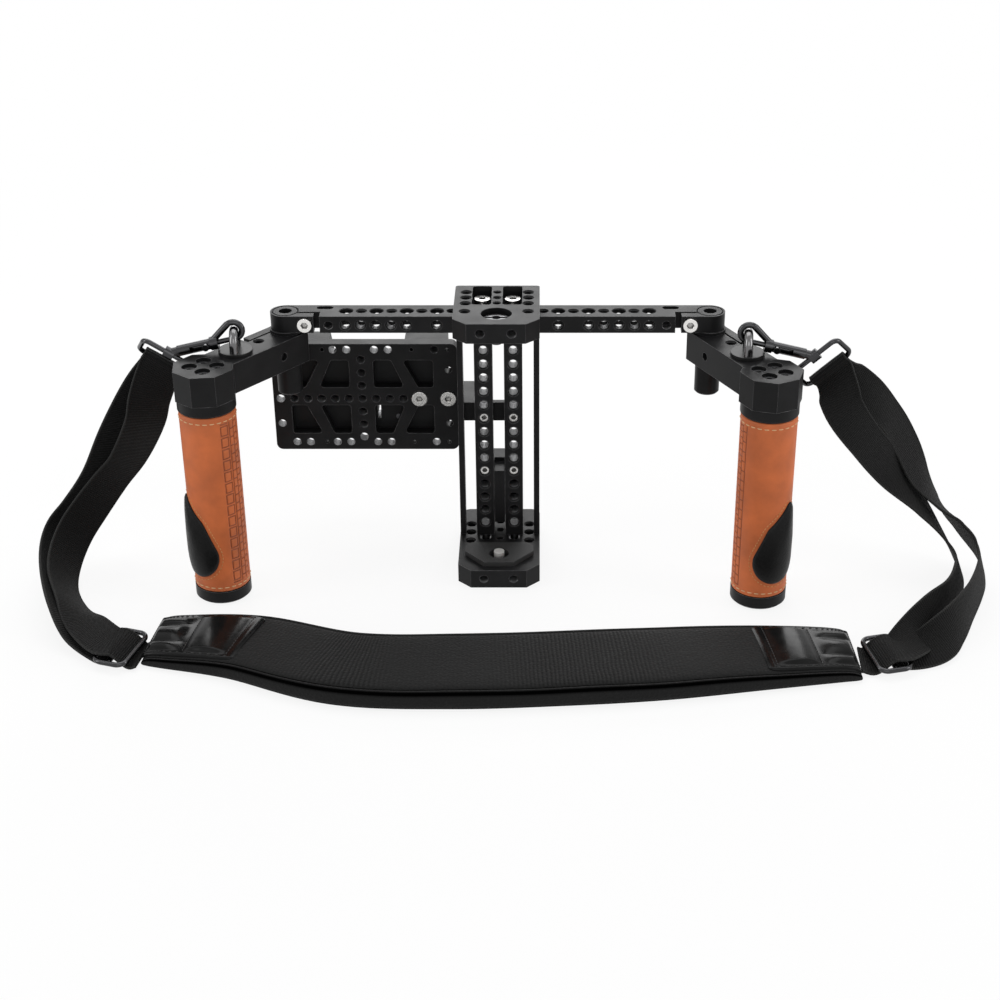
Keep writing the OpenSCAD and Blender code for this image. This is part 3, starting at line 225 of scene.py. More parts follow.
# Brick columns beside the blocks: gap, width, heights of their bricks, and shift
BRICK_GAP = 1.5 * MM
BRICK_W = 3.5 * MM
BRICK_H = (5.4 * MM, 3.9 * MM, 6.3 * MM)
BRICK_SHIFT = 2.1 * MM

# Thumb pad: circles that its outline runs round, as distance round the grip, height and radius
THUMB_CIRCLES = [(0, 32, 14.5), (3.4, 48, 11.6), (8.5, 66, 3)]
THUMB_MIDDLE = (2.2, 37.0)
# Share of the outline and lift up the rim, and shares of the outline over the crown
THUMB_RIM = [(1.0, -0.4 * MM), (1.004, 0.35 * MM), (0.995, 0.8 * MM), (0.97, 1.15 * MM)]
THUMB_CROWN = (0.94, 0.9, 0.84, 0.76, 0.66, 0.54, 0.4, 0.26, 0.12)
# Points of the outline, and its stitches: count, length, distance from the pad, share of the thread
THUMB_POINTS = 96
THUMB_STITCHES = 64
THUMB_STITCH = 1.5 * MM
THUMB_STITCH_GAP = 2.2
THUMB_THREAD = 0.75

# Stitches: sides, and place along, thickness and lift of each ring, as shares
STITCH_SIDES = 6
STITCH = [(-0.5, 0.2, -0.6), (-0.4, 0.75, 0.1), (0, 1, 0.45), (0.4, 0.75, 0.1), (0.5, 0.2, -0.6)]


def size(label, text, default):
    """Length setting, in metres."""
    return FloatProperty(name=label, description=text, default=default, unit="LENGTH", precision=5)


def share(label, text, default):
    """Setting from 0 to 1."""
    return FloatProperty(name=label, description=text, default=default, min=0, max=1, subtype="FACTOR")


def power(label, text, default):
    """Lamp power setting, in watts."""
    return FloatProperty(name=label, description=text, default=default, unit="POWER")


def colour(label, text, default):
    """Colour setting."""
    return FloatVectorProperty(
        name=label, description=text, default=default, subtype="COLOR", size=3, min=0, max=1)


class CAGE_PG_finish(PropertyGroup):
    """Colours and gloss of the finishes."""

    metal: colour("Metal", "Black anodised metal", (0.0065, 0.0065, 0.0068))
    # Edge colour: worn metal, lightened further as a painted highlight where light catches the edges
    metal_edge: colour("Metal edge", "Anodised metal worn along an edge", (0.26, 0.26, 0.265))
    steel: colour("Steel", "Bright screws", (0.76, 0.75, 0.73))
    black_steel: colour("Black steel", "Blackened screws and the latch", (0.12, 0.12, 0.124))
    gunmetal: colour("Gunmetal", "Hooks, loops and sliders", (0.05, 0.05, 0.052))
    hoop: colour("Hoop", "Polished hoops of the eye bolts", (0.15, 0.148, 0.15))
    tan: colour("Tan leather", "Leather of the grips", (0.52, 0.125, 0.033))
    tan_dark: colour("Tan, pressed", "Leather in the pressed lines", (0.15, 0.031, 0.009))
    thread: colour("Thread", "Stitching of the grips", (0.72, 0.47, 0.25))
    black_leather: colour("Black leather", "Leather of the thumb pads", (0.003, 0.003, 0.003))
    webbing: colour("Webbing", "Woven strap", (0.0035, 0.0035, 0.0034))
    knit: colour("Knit", "Knitted cover of the neck pad", (0.005, 0.005, 0.005))
    patent: colour("Patent", "Glossy patches", (0.005, 0.005, 0.005))
    edge_radius: size("Edge radius", "Rounding that the metal edges show", 0.42 * MM)
    metal_rough: share("Metal roughness", "Roughness of the anodised metal", 0.4)


class CAGE_PG_grip(PropertyGroup):
    """Sizes of the leather grips."""

    press: size("Press depth", "Depth of the pressed lines", 0.5 * MM)
    line_w: size("Line width", "Width of the pressed lines", 1.2 * MM)
    stitch: size("Stitch", "Length of one stitch", 2.9 * MM)
    stitch_pitch: size("Stitch pitch", "Distance from stitch to stitch", 4.2 * MM)
    thread_r: size("Thread radius", "Radius of the thread", 0.36 * MM)
    thumb_h: size("Thumb pad height", "Crown of the thumb pads", 3.0 * MM)


class CAGE_PG_strap(PropertyGroup):
    """Sizes of the neck strap."""

    web_w: size("Webbing width", "Width of the webbing", 25 * MM)
    web_t: size("Webbing thickness", "Thickness of the webbing", 1.8 * MM)
    web_rib: size("Webbing rib", "Pitch of the ribs across the webbing", 1.3 * MM)
    pad_w: size("Pad width", "Width of the neck pad", 63 * MM)
    pad_t: size("Pad thickness", "Thickness of the neck pad", 14 * MM)
    pad_rib: size("Pad rib", "Pitch of the ribs of the pad's cover", 2.3 * MM)
    patch_t: size("Patch thickness", "Thickness of the patches", 1.4 * MM)
    lobe_h: size("Lobe height", "Height of the raised lobes of the patches", 2.2 * MM)


class CAGE_PG_stage(PropertyGroup):
    """Light and camera."""

    key: power("Overhead", "Power of the overhead softbox", 9)
    back: power("Back", "Power of the softbox behind", 9)
    fill: power("Front", "Power of the front softbox", 4)
    side: power("Sides", "Power of each side strip", 4)
    lens: FloatProperty(name="Lens", description="Focal length of the camera", default=64.8, unit="CAMERA")


class Finish:
    """One node material, built with short calls."""

    def __init__(self, name):
        self.material = bpy.data.materials.new(name)
        self.material.use_nodes = True
        self.tree = self.material.node_tree
        self.surface = self.tree.nodes["Principled BSDF"]
        self.place = self.add("ShaderNodeTexCoord").outputs["Object"]

    def add(self, kind, inputs=None, **settings):
        node = self.tree.nodes.new(kind)
        for name, value in settings.items():
            setattr(node, name, value)
        for name, value in (inputs or {}).items():
            self.join(value, node.inputs[name])
        return node

    def join(self, value, socket):
        if isinstance(value, bpy.types.NodeSocket):
            self.tree.links.new(value, socket)
        elif hasattr(value, "__len__") and len(value) == 3 and socket.type == "RGBA":
            socket.default_value = (*value, 1)
        else:
            socket.default_value = value

    def shade(self, inputs):
        """Values and links of the surface shader."""
        for name, value in inputs.items():
            self.join(value, self.surface.inputs[name])
        return self.material

    def noise(self, scale, detail=2.0, place=None):
        found = {"Vector": place or self.place, "Scale": scale, "Detail": detail}
        return self.add("ShaderNodeTexNoise", found).outputs["Fac"]

    def cells(self, scale):
        return self.add("ShaderNodeTexVoronoi", {"Vector": self.place, "Scale": scale}).outputs["Distance"]

    def span(self, value, low, high, start=0.0, end=1.0):
        """Value from low to high, laid out from start to end."""
        found = {"Value": value, "From Min": low, "From Max": high, "To Min": start, "To Max": end}
        return self.add("ShaderNodeMapRange", found).outputs["Result"]

    def near(self, value, middle, reach):
        """1 round the middle, falling to 0 at the reach."""
        return self.span(self.sum("ABSOLUTE", self.sum("SUBTRACT", value, middle)), reach, reach * 0.4)

    def sum(self, operation, first, second=0.0):
        return self.add("ShaderNodeMath", {0: first, 1: second}, operation=operation).outputs[0]

    def mix(self, factor, first, second):
        return self.add("ShaderNodeMix", {0: factor, 6: first, 7: second}, data_type="RGBA").outputs[2]

    def bump(self, height, distance, strength=1.0, normal=None):
        found = {"Height": height, "Distance": distance, "Strength": strength}
        if normal is not None:
            found["Normal"] = normal
        return self.add("ShaderNodeBump", found).outputs["Normal"]

    def edges(self, radius):
        """Normal that rounds the edges, and how near an edge is."""
        rounded = self.add("ShaderNodeBevel", {"Radius": radius}, samples=6).outputs["Normal"]
        flat = self.add("ShaderNodeNewGeometry").outputs["Normal"]
        dot = self.add("ShaderNodeVectorMath", {0: rounded, 1: flat}, operation="DOT_PRODUCT")
        return rounded, self.span(dot.outputs["Value"], 0.995, 0.8)

    def axis(self, name):
        """One coordinate of the place."""
        return self.add("ShaderNodeSeparateXYZ", {"Vector": self.place}).outputs[name]

    def cloth_place(self):
        """Distance along and across a strap or pad."""
        laid = self.add("ShaderNodeUVMap", uv_map="cloth").outputs["UV"]
        parts = self.add("ShaderNodeSeparateXYZ", {"Vector": laid})
        return parts.outputs["X"], parts.outputs["Y"]

    def wave(self, value, pitch):
        turned = self.sum("MULTIPLY", value, 2 * math.pi / pitch)
        return self.sum("SINE", turned)


def toned(tone, times):
    """Colour made lighter or darker."""
    return tuple(c * times for c in tone)


def anodised_metal(look):
    """Bead-blasted black anodised metal, lighter along its edges from wear and from a painted edge
    highlight.
    """
    made = Finish("anodised_metal")
    rounded, edge = made.edges(look.edge_radius)
    blast = made.noise(5200, 3)
    cloud = made.noise(70, 4)
    # Edge mask: part wear, part painted highlight that stands in for light catching the edges
    worn_and_highlit = made.sum("MULTIPLY", edge, made.span(made.noise(240, 4), 0.3, 0.7, 0.35, 1.0))
    base = made.mix(made.span(cloud, 0.3, 0.7), look.metal, toned(look.metal, 1.7))
    rough = look.metal_rough
    return made.shade({
        "Base Color": made.mix(worn_and_highlit, base, look.metal_edge),
        "Roughness": made.span(cloud, 0.3, 0.7, rough - 0.04, rough + 0.05),
        "Specular IOR Level": 0.12,
        "Normal": made.bump(blast, 0.03 * MM, 0.35, rounded),
    })


def screw_metal(look, name, tone, rough):
    """Turned screw metal with fine marks, with painted shade in its sockets and a painted highlight along
    its edges.
    """
    made = Finish(name)
    rounded, edge = made.edges(look.edge_radius * 0.6)
    marks = made.noise(1800, 4)
    # Painted highlight: the edges are lightened toward the lit tone
    lit = tuple(min(1.0, c * 1.25 + 0.02) for c in tone)
    # Painted shade: occlusion by the screw's own shape darkens its sockets and crevices to 6% of the tone
    painted_shade_ao = made.add("ShaderNodeAmbientOcclusion", {"Distance": 3 * MM}, samples=6, only_local=True)
    unshaded = made.span(painted_shade_ao.outputs["AO"], 0.3, 0.8)
    face = made.mix(made.span(edge, 0, 1, 0, 0.6), tone, lit)
    return made.shade({
        "Base Color": made.mix(unshaded, toned(tone, 0.06), face),
        "Metallic": 1.0,
        "Roughness": made.span(marks, 0.3, 0.7, rough * 0.8, rough * 1.25),
        "Normal": made.bump(marks, 0.02 * MM, 0.3, rounded),
    })


def tapped_metal():
    """Bare metal of a tapped hole that runs front to back, with the ridges of its thread; its grooves
    carry painted shade and its crests a painted glint.
    """
    made = Finish("tapped_metal")
    ridge = made.wave(made.axis("Y"), 1.27 * MM)
    return made.shade({
        # Painted shade and glint: the colour darkens in the thread's grooves and lightens on its crests
        "Base Color": made.mix(made.span(ridge, -0.5, 0.8), (0.02, 0.02, 0.021), (0.42, 0.42, 0.43)),
        "Metallic": 1.0,
        "Roughness": 0.3,
        "Normal": made.bump(ridge, 0.25 * MM, 0.9),
    })


def eye_metal(look):
    """Polished hoop on a black foot."""
    made = Finish("eye_metal")
    rounded, _ = made.edges(look.edge_radius)
    marks = made.noise(1500, 4)
    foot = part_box("left_arm")[1].z
    hoop = made.span(made.axis("Z"), foot + 2.0 * MM, foot + 2.6 * MM)
    return made.shade({
        "Base Color": made.mix(hoop, (0.012, 0.012, 0.012), look.hoop),
        "Metallic": hoop,
        "Roughness": made.span(hoop, 0, 1, 0.36, 0.16),
        "Specular IOR Level": 0.15,
        "Normal": made.bump(marks, 0.02 * MM, 0.3, rounded),
    })


def moulded(name, tone, rough, grain):
    """Moulded plastic or rubber with a fine texture."""
    made = Finish(name)
    texture = made.noise(grain, 3)
    return made.shade({
        "Base Color": made.mix(made.noise(120, 3), tone, toned(tone, 1.6)),
        "Roughness": made.span(texture, 0.3, 0.7, rough - 0.06, rough + 0.06),
        "Normal": made.bump(texture, 0.06 * MM, 0.5),
    })


def tan_leather(look):
    """Smooth tan leather, darker where it is pressed."""
    made = Finish("tan_leather")
    cloud = made.noise(55, 5)
    pores = made.cells(1500)
    crease = made.noise(420, 5)
    pressed = made.add("ShaderNodeAttribute", attribute_name="pressed").outputs["Fac"]
    light = tuple(min(1.0, c * 1.16) for c in look.tan)
    base = made.mix(made.span(cloud, 0.32, 0.68), toned(look.tan, 0.8), light)
    height = made.sum("ADD", made.sum("MULTIPLY", pores, 0.5), crease)
    return made.shade({
        "Base Color": made.mix(pressed, base, look.tan_dark),
        "Roughness": made.span(cloud, 0.3, 0.7, 0.5, 0.62),
        "Specular IOR Level": 0.4,
        "Normal": made.bump(height, 0.08 * MM, 0.45),
    })


def black_leather(look):
    """Grained black leather."""
    made = Finish("black_leather")
    grain = made.cells(1000)
    fine = made.noise(2600, 3)
    height = made.sum("ADD", grain, made.sum("MULTIPLY", fine, 0.3))
    tone = look.black_leather
    return made.shade({
        "Base Color": made.mix(made.span(grain, 0.1, 0.6), tone, toned(tone, 2)),
        "Roughness": made.span(grain, 0.1, 0.7, 0.3, 0.42),
        "Specular IOR Level": 0.13,
        "Normal": made.bump(height, 0.14 * MM, 0.6),
    })


def thread(name, tone):
    """Twisted sewing thread."""
    made = Finish(name)
    fibre = made.noise(3800, 3)
    return made.shade({
        "Base Color": made.mix(fibre, toned(tone, 0.75), tone),
        "Roughness": 0.75,
        "Normal": made.bump(fibre, 0.1 * MM, 0.6),
    })


def woven_webbing(look, sizes):
    """Webbing with ribs across it, and a painted highlight along both edges where the selvedge catches the
    light.
    """
    made = Finish("woven_webbing")
    along, across = made.cloth_place()
    rib = made.wave(along, sizes.web_rib)
    warp = made.wave(across, sizes.web_rib * 0.7)
    weave = made.sum("ADD", rib, made.sum("MULTIPLY", warp, 0.45))
    fuzz = made.noise(900, 4)
    # Painted highlight: a lighter band along both edges stands in for light catching the selvedge
    edge = made.span(made.sum("ABSOLUTE", across), sizes.web_w * 0.455, sizes.web_w * 0.485)
    tone = made.mix(made.span(weave, -1.2, 1.2), look.webbing, toned(look.webbing, 2.3))
    return made.shade({
        "Base Color": made.mix(edge, tone, toned(look.webbing, 6)),
        "Roughness": made.span(fuzz, 0.3, 0.7, 0.62, 0.8),
        "Specular IOR Level": 0.1,
        "Sheen Weight": 0.02,
        "Sheen Roughness": 0.5,
        "Normal": made.bump(made.sum("ADD", weave, fuzz), 0.16 * MM, 0.8),
    })


def knit_cover(look, sizes):
    """Grained cover of the neck pad: ribbed where the pad bends, with a sewn groove along its border that
    carries painted shade.
    """
    made = Finish("knit_cover")
    along, across = made.cloth_place()
    aside = made.sum("ABSOLUTE", across)
    left = made.near(along, 122 * MM, 26 * MM)
    right = made.near(along, 256 * MM, 56 * MM)
    bend = made.span(made.sum("MAXIMUM", left, right), 0, 1, 0.16, 1.0)
    wander = made.sum("MULTIPLY", made.noise(35, 3), 2.6 * MM)
    rib = made.wave(made.sum("ADD", along, wander), sizes.pad_rib)
    ribbed = made.sum("MULTIPLY", made.sum("MULTIPLY", rib, bend), made.span(aside, 0.87, 0.82))
    grain = made.cells(620)
    height = made.sum("ADD", ribbed, made.sum("MULTIPLY", grain, 1.4))
    tone = made.mix(made.span(height, -0.6, 1.5), toned(look.knit, 0.4), toned(look.knit, 2.6))
    # Painted shade: the border groove and the valley of the piping are darkened nearly to black and lose
    # their gloss
    groove = made.near(aside, 0.966, 0.03)
    seam = made.sum("MAXIMUM", groove, made.near(aside, 0.868, 0.014))
    relief = made.sum("SUBTRACT", height, made.sum("MULTIPLY", groove, 3.0))
    return made.shade({
        "Base Color": made.mix(seam, tone, toned(look.knit, 0.08)),
        "Roughness": made.span(grain, 0.1, 0.6, 0.7, 0.85),
        "Specular IOR Level": made.span(seam, 0, 1, 0.15, 0.0),
        "Sheen Weight": 0.03,
        "Sheen Roughness": 0.45,
        "Normal": made.bump(relief, 0.24 * MM, 0.9),
    })


def patent_leather(look):
    """Glossy patent leather with a slight ripple."""
    made = Finish("patent_leather")
    ripple = made.noise(160, 3)
    return made.shade({
        "Base Color": made.mix(ripple, look.patent, toned(look.patent, 1.8)),
        "Roughness": made.span(ripple, 0.3, 0.7, 0.16, 0.24),
        "Specular IOR Level": 0.1,
        "Normal": made.bump(ripple, 0.4 * MM, 0.2),
    })


def paint(names, material):
    """Gives CAD nodes one finish."""
    for name in names:
        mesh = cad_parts[name].data
        mesh.materials.clear()
        mesh.materials.append(material)


def paint_bores(names, finish):
    """Gives the walls of tapped holes that run front to back their finish."""
    for name in names:
        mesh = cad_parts[name].data
        mesh.materials.append(finish)
        tree = BVHTree.FromPolygons([v.co for v in mesh.vertices], [f.vertices for f in mesh.polygons])
        for face in mesh.polygons:
            start = face.center + face.normal * BORE_START
            across = tree.ray_cast(start, face.normal, BORE_REACH)[3]
            if across and any(abs(across - width) < BORE_SLACK for width in TAPPED_W):
                run = np.ptp([mesh.vertices[v].co for v in face.vertices], axis=0)
                face.material_index = int(run[1] > run[2])


def placed(name, data):
    """New object in the scene."""
    made = bpy.data.objects.new(name, data)
    bpy.context.scene.collection.objects.link(made)
    return made


def piece(name, points, faces, material, laid=None, pressed=None):
    """New smooth mesh object from points in metres."""
    mesh = bpy.data.meshes.new(name)
    mesh.from_pydata(np.asarray(points, float).tolist(), [], faces)
    if mesh.validate():
        raise RuntimeError(f"{name} has bad faces")
    mesh.polygons.foreach_set("use_smooth", [True] * len(mesh.polygons))
    mesh.set_sharp_from_angle(angle=SHARP)
    corners = np.zeros(len(mesh.loops), np.int32)
    mesh.loops.foreach_get("vertex_index", corners)
    if laid is not None:
        layer = mesh.uv_layers.new(name="cloth")
        layer.data.foreach_set("uv", np.asarray(laid, np.float32)[corners].ravel())
    if pressed is not None:
        mark = mesh.attributes.new("pressed", "FLOAT", "POINT")
        mark.data.foreach_set("value", np.asarray(pressed, np.float32))
    mesh.materials.append(material)
    return placed(name, mesh)


def skin_faces(count, m, loop=False):
    """Faces over count rings of m points, outward for rings that turn left about the way ahead."""
    faces = []
    for i in range(count if loop else count - 1):
        a, b = i * m, (i + 1) % count * m
        faces += [(a + k, a + (k + 1) % m, b + (k + 1) % m, b + k) for k in range(m)]
    if not loop:
        faces.append(tuple(range(m - 1, -1, -1)))
        faces.append(tuple(range((count - 1) * m, count * m)))
    return faces


def unit(v):
    """Same direction, with a length of 1."""
    v = np.asarray(v, float)
    return v / np.linalg.norm(v, axis=-1, keepdims=True)


def smooth(stations, steps):
    """Even curve through the stations, with steps points for each of them."""
    p = np.asarray(stations, float)
    q = np.vstack([p[:1], p, p[-1:]])
    t = (np.arange(steps) / steps)[:, None]
    made = []
    for i in range(len(p) - 1):
        a, b, c, d = q[i:i + 4]
        made.append(0.5 * (2 * b + (c - a) * t + (2 * a - 5 * b + 4 * c - d) * t**2
                           + (3 * b - a - 3 * c + d) * t**3))
    return np.vstack([*made, p[-1:]])


def distances(line):
    """Distance along a line at each of its points."""
    return np.concatenate([[0], np.cumsum(np.linalg.norm(np.diff(line, axis=0), axis=1))])


def half_turn(angle):
    """Same angle, within half a turn of 0."""
    return np.mod(angle + math.pi, 2 * math.pi) - math.pi


def quarter(x):
    """Quarter round from 0 to 1."""
    return np.sqrt(1 - (1 - np.clip(x, 0, 1)) ** 2)


def ease(x):
    """Soft step from 0 to 1."""
    x = np.clip(x, 0, 1)
    return x * x * (3 - 2 * x)


def stitches(name, lines, length, radius, material):
    """One mesh of stitches; lines hold the middle, direction and outward normal of each."""
    around = np.arange(STITCH_SIDES) * 2 * math.pi / STITCH_SIDES
    points, faces = [], []
    ring_faces = skin_faces(len(STITCH), STITCH_SIDES)
    for middle, ahead, out in lines:
        ahead, out = unit(ahead), unit(out)
        across = np.cross(out, ahead)
        ring = np.cos(around)[:, None] * across + np.sin(around)[:, None] * out
        base = len(points) * STITCH_SIDES * len(STITCH)
        rows = []
        for place, thick, lift in STITCH:
            centre = middle + ahead * place * length + out * lift * radius
            rows.append(centre + radius * thick * ring)
        points.append(np.vstack(rows))
        faces += [tuple(base + k for k in face) for face in ring_faces]
    return piece(name, np.vstack(points), faces, material)


def loop_frame(side):
    """Place of the loop bar, direction along it, upward and toward the front of the webbing on it."""
    bar, along = (np.array(v) for v in LOOPS[side])
    up = unit(np.array((0, 0, 1)) - along[2] * along)
    return bar, along, up, np.cross(along, up)


def web_route(side):
    """Middle line and width direction of the webbing, from the pad over the loop bar to the slider.

    Also gives the points where the turn round the bar starts and ends.
    """
    bar, along, up, face = loop_frame(side)

    def laid(run):
        rows = []
        for x, y, z, heading, lift in run:
            h, e = math.radians(heading), math.radians(lift)
            rows.append([x, y, z, math.cos(e) * math.cos(h), math.cos(e) * math.sin(h), math.sin(e)])
        return rows

    r, tail = WRAP_R, WRAP_TAIL * up
    turn = [face * r - tail, face * r, (face + up) * r * WRAP_CORNER, up * r,
            (up - face) * r * WRAP_CORNER, -face * r, -face * r - tail]
    wrap = [[*(bar + q), *along] for q in turn]
    front = laid(FRONT_RUN[side])
    stations = front[::-1] + wrap + laid(BACK_RUN[side])
    first = (len(front) - 1 - SPLIT_STATION) * RUN_STEPS
    last = (len(front) + len(wrap) + SPLIT_STATION) * RUN_STEPS
    return smooth(stations, RUN_STEPS), first, last


def web_rings(route, bar, sizes):
    """Cross-sections of the webbing, and how each point lies on it."""
    middle = route[:, :3] * MM
    ahead = unit(np.gradient(middle, axis=0))
    square = np.clip(np.linalg.norm(route[:, :3] - bar, axis=1, keepdims=True) / WEB_FREE - 1, 0, 1)
    way = unit(route[:, 3:] - square * np.sum(route[:, 3:] * ahead, axis=1, keepdims=True) * ahead)
    up = unit(np.cross(ahead, way))
    across, thick = np.array(WEB_SECTION).T
    v = np.concatenate([across, across[::-1]]) * sizes.web_w / 2
    h = np.concatenate([-thick, thick[::-1]]) * sizes.web_t / 2
    rings = middle[:, None] + way[:, None] * v[None, :, None] + up[:, None] * h[None, :, None]
    run = distances(middle)
    laid = np.stack(np.broadcast_arrays(run[:, None], v[None, :]), axis=-1)
    return rings, laid, run


def pad_route():
    """Dense line of the neck pad, with the direction across it."""
    line = smooth(PAD_LINE, PAD_STEPS)
    ahead = unit(np.gradient(line[:, :2], axis=0))
    return line, np.stack([-ahead[:, 1], ahead[:, 0]], axis=1)


def teardrop(points):
    """Outline of the thumb pad as (distance round the grip, height), evenly spaced, in millimetres."""
    turn = np.arange(720) * math.pi / 360
    way = np.stack([np.cos(turn), np.sin(turn)], axis=1)
    circles = np.array(THUMB_CIRCLES)
    most = np.argmax(way @ circles[:, :2].T + circles[:, 2], axis=1)
    line = circles[most, :2] + circles[most, 2:] * way
    line = np.vstack([line, line[:1]])
    run = distances(line)
    at = np.linspace(0, run[-1], points, endpoint=False)
    return np.stack([np.interp(at, run, line[:, 0]), np.interp(at, run, line[:, 1])], axis=1)


def grip_axis(side):
    """Middle of the grip, its radius, and the lowest and highest point of its leather, in metres."""
    low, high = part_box(f"{side}_leather")
    return np.array((low + high) / 2)[:2], (high.x - low.x) / 2, low.z, high.z


def pressed_lines(away, height, top, width):
    """How deep the leather is pressed, 0 to 1, by distance from the block column and by height."""
    def line(distance):
        return 1 - ease(np.abs(distance) / (width / 2))

    pitch = (top - 2 * BLOCK_MARGIN) / BLOCKS
    inside = (height > BLOCK_MARGIN - width) & (height < top - BLOCK_MARGIN + width)
    cell = np.mod(height - BLOCK_MARGIN, pitch) - pitch / 2
    box = np.maximum(np.abs(away) - BLOCK_HALF, np.abs(cell) - (pitch / 2 - BLOCK_GAP))
    deep = np.where(np.abs(away) < BLOCK_HALF + width, line(box), 0)
    left = BLOCK_HALF + BRICK_GAP
    deep = np.maximum(deep, line(away - left))
    for k, brick in enumerate(BRICK_H):
        row = np.mod(height + k * BRICK_SHIFT, brick) - brick / 2
        deep = np.maximum(deep, np.where((away > left) & (away < left + BRICK_W), line(row), 0))
        left += BRICK_W
        deep = np.maximum(deep, line(away - left))
    return np.where(inside, deep, 0)


class CAGE_OT_metal(Operator):
    """Give the metal, plastic and rubber parts their finishes"""

    bl_idname = "cage.metal"
    bl_label = "Metal finishes"

    def execute(self, context):
        look = context.scene.cage_finish
        paint(BLACK_METAL, anodised_metal(look))
        paint_bores(TAPPED, tapped_metal())
        paint(BRIGHT_STEEL, screw_metal(look, "bright_steel", look.steel, 0.24))
        black = screw_metal(look, "black_steel", look.black_steel, 0.36)
        paint(BLACK_STEEL, black)
        paint(("bottom_screw",), screw_metal(look, "stud_steel", look.steel, 0.5))
        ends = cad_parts["bar_end_screws"].data
        ends.materials.append(black)
        for face in ends.polygons:
            face.material_index = int(face.center.z < BLACK_ENDS)
        paint(GUNMETAL, screw_metal(look, "gunmetal", look.gunmetal, 0.18))
        paint(EYE_BOLTS, eye_metal(look))
        paint(("contact_block",), moulded("contact_plastic", (0.012, 0.012, 0.012), 0.45, 2400))
        paint(("bottom_pad",), moulded("pad_rubber", (0.01, 0.01, 0.01), 0.62, 1400))
        return {"FINISHED"}


class CAGE_OT_grips(Operator):
    """Wrap both grips in stitched tan leather with a pressed block pattern"""

    bl_idname = "cage.grips"
    bl_label = "Leather grips"

    def execute(self, context):
        look, sizes = context.scene.cage_finish, context.scene.cage_grip
        leather, sewn = tan_leather(look), thread("tan_thread", look.thread)
        for side in SIDES:
            self.wrap(side, sizes, leather)
            self.sew(side, sizes, sewn)
        return {"FINISHED"}

    def wrap(self, side, sizes, leather):
        axis, radius, low, high = grip_axis(side)
        column = math.radians(COLUMN_AT[side])
        seam = math.radians(SEAM_AT[side])
        fine = np.arange(*FINE_COLUMNS) * MM / radius + column
        coarse = np.linspace(fine[-1], fine[0] + 2 * math.pi, COARSE_COLUMNS)[1:-1]
        around = np.concatenate([fine, coarse])
        away = half_turn(around - column)
        length = high - low
        height = np.linspace(0, length, LEATHER_ROWS)
        deep = pressed_lines(away[None] * radius, height[:, None], length, sizes.line_w)
        gap = half_turn(around - seam) * radius
        deep = np.maximum(deep, SEAM_DEPTH * (1 - ease(np.abs(gap[None]) / SEAM_HALF)))
        pull = LEATHER_PULL * (1 - quarter(np.minimum(height, length - height) / LEATHER_RIM))
        reach = radius - pull[:, None] - sizes.press * deep
        ring = np.stack([np.cos(around), np.sin(around)], axis=1)
        rows = np.empty((len(height) + 2, len(around), 3))
        rows[1:-1, :, :2] = axis + reach[:, :, None] * ring
        rows[1:-1, :, 2] = (low + height)[:, None]
        for row, z in ((0, low), (-1, high)):
            rows[row, :, :2] = axis + LEATHER_BORE * ring
            rows[row, :, 2] = z
        pressed = np.zeros(rows.shape[:2])
        pressed[1:-1] = np.clip(deep, 0, 1)
        faces = skin_faces(len(rows), len(around), loop=True)
        made = piece(f"{side}_grip_leather", rows.reshape(-1, 3), faces, leather, pressed=pressed.ravel())
        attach(made, f"{side}_arm")
        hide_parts(f"{side}_leather")

    def sew(self, side, sizes, sewn):
        axis, radius, low, high = grip_axis(side)
        lines = []
        count = round(2 * math.pi * radius / sizes.stitch_pitch)
        for z in (low + RING_STITCH[0], high - RING_STITCH[1]):
            for k in range(count):
                a = 2 * math.pi * k / count
                out = np.array((math.cos(a), math.sin(a), 0))
                lines.append(((*(axis + radius * out[:2]), z), (-out[1], out[0], 0), out))
        for gap in (-SEAM_STITCH, SEAM_STITCH):
            a = math.radians(SEAM_AT[side]) + gap / radius
            out = np.array((math.cos(a), math.sin(a), 0))
            for z in np.arange(low + SEAM_ENDS[0], high - SEAM_ENDS[1], sizes.stitch_pitch):
                lines.append(((*(axis + radius * out[:2]), z), (0, 0, 1), out))
        made = stitches(f"{side}_grip_stitches", lines, sizes.stitch, sizes.thread_r, sewn)
        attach(made, f"{side}_arm")


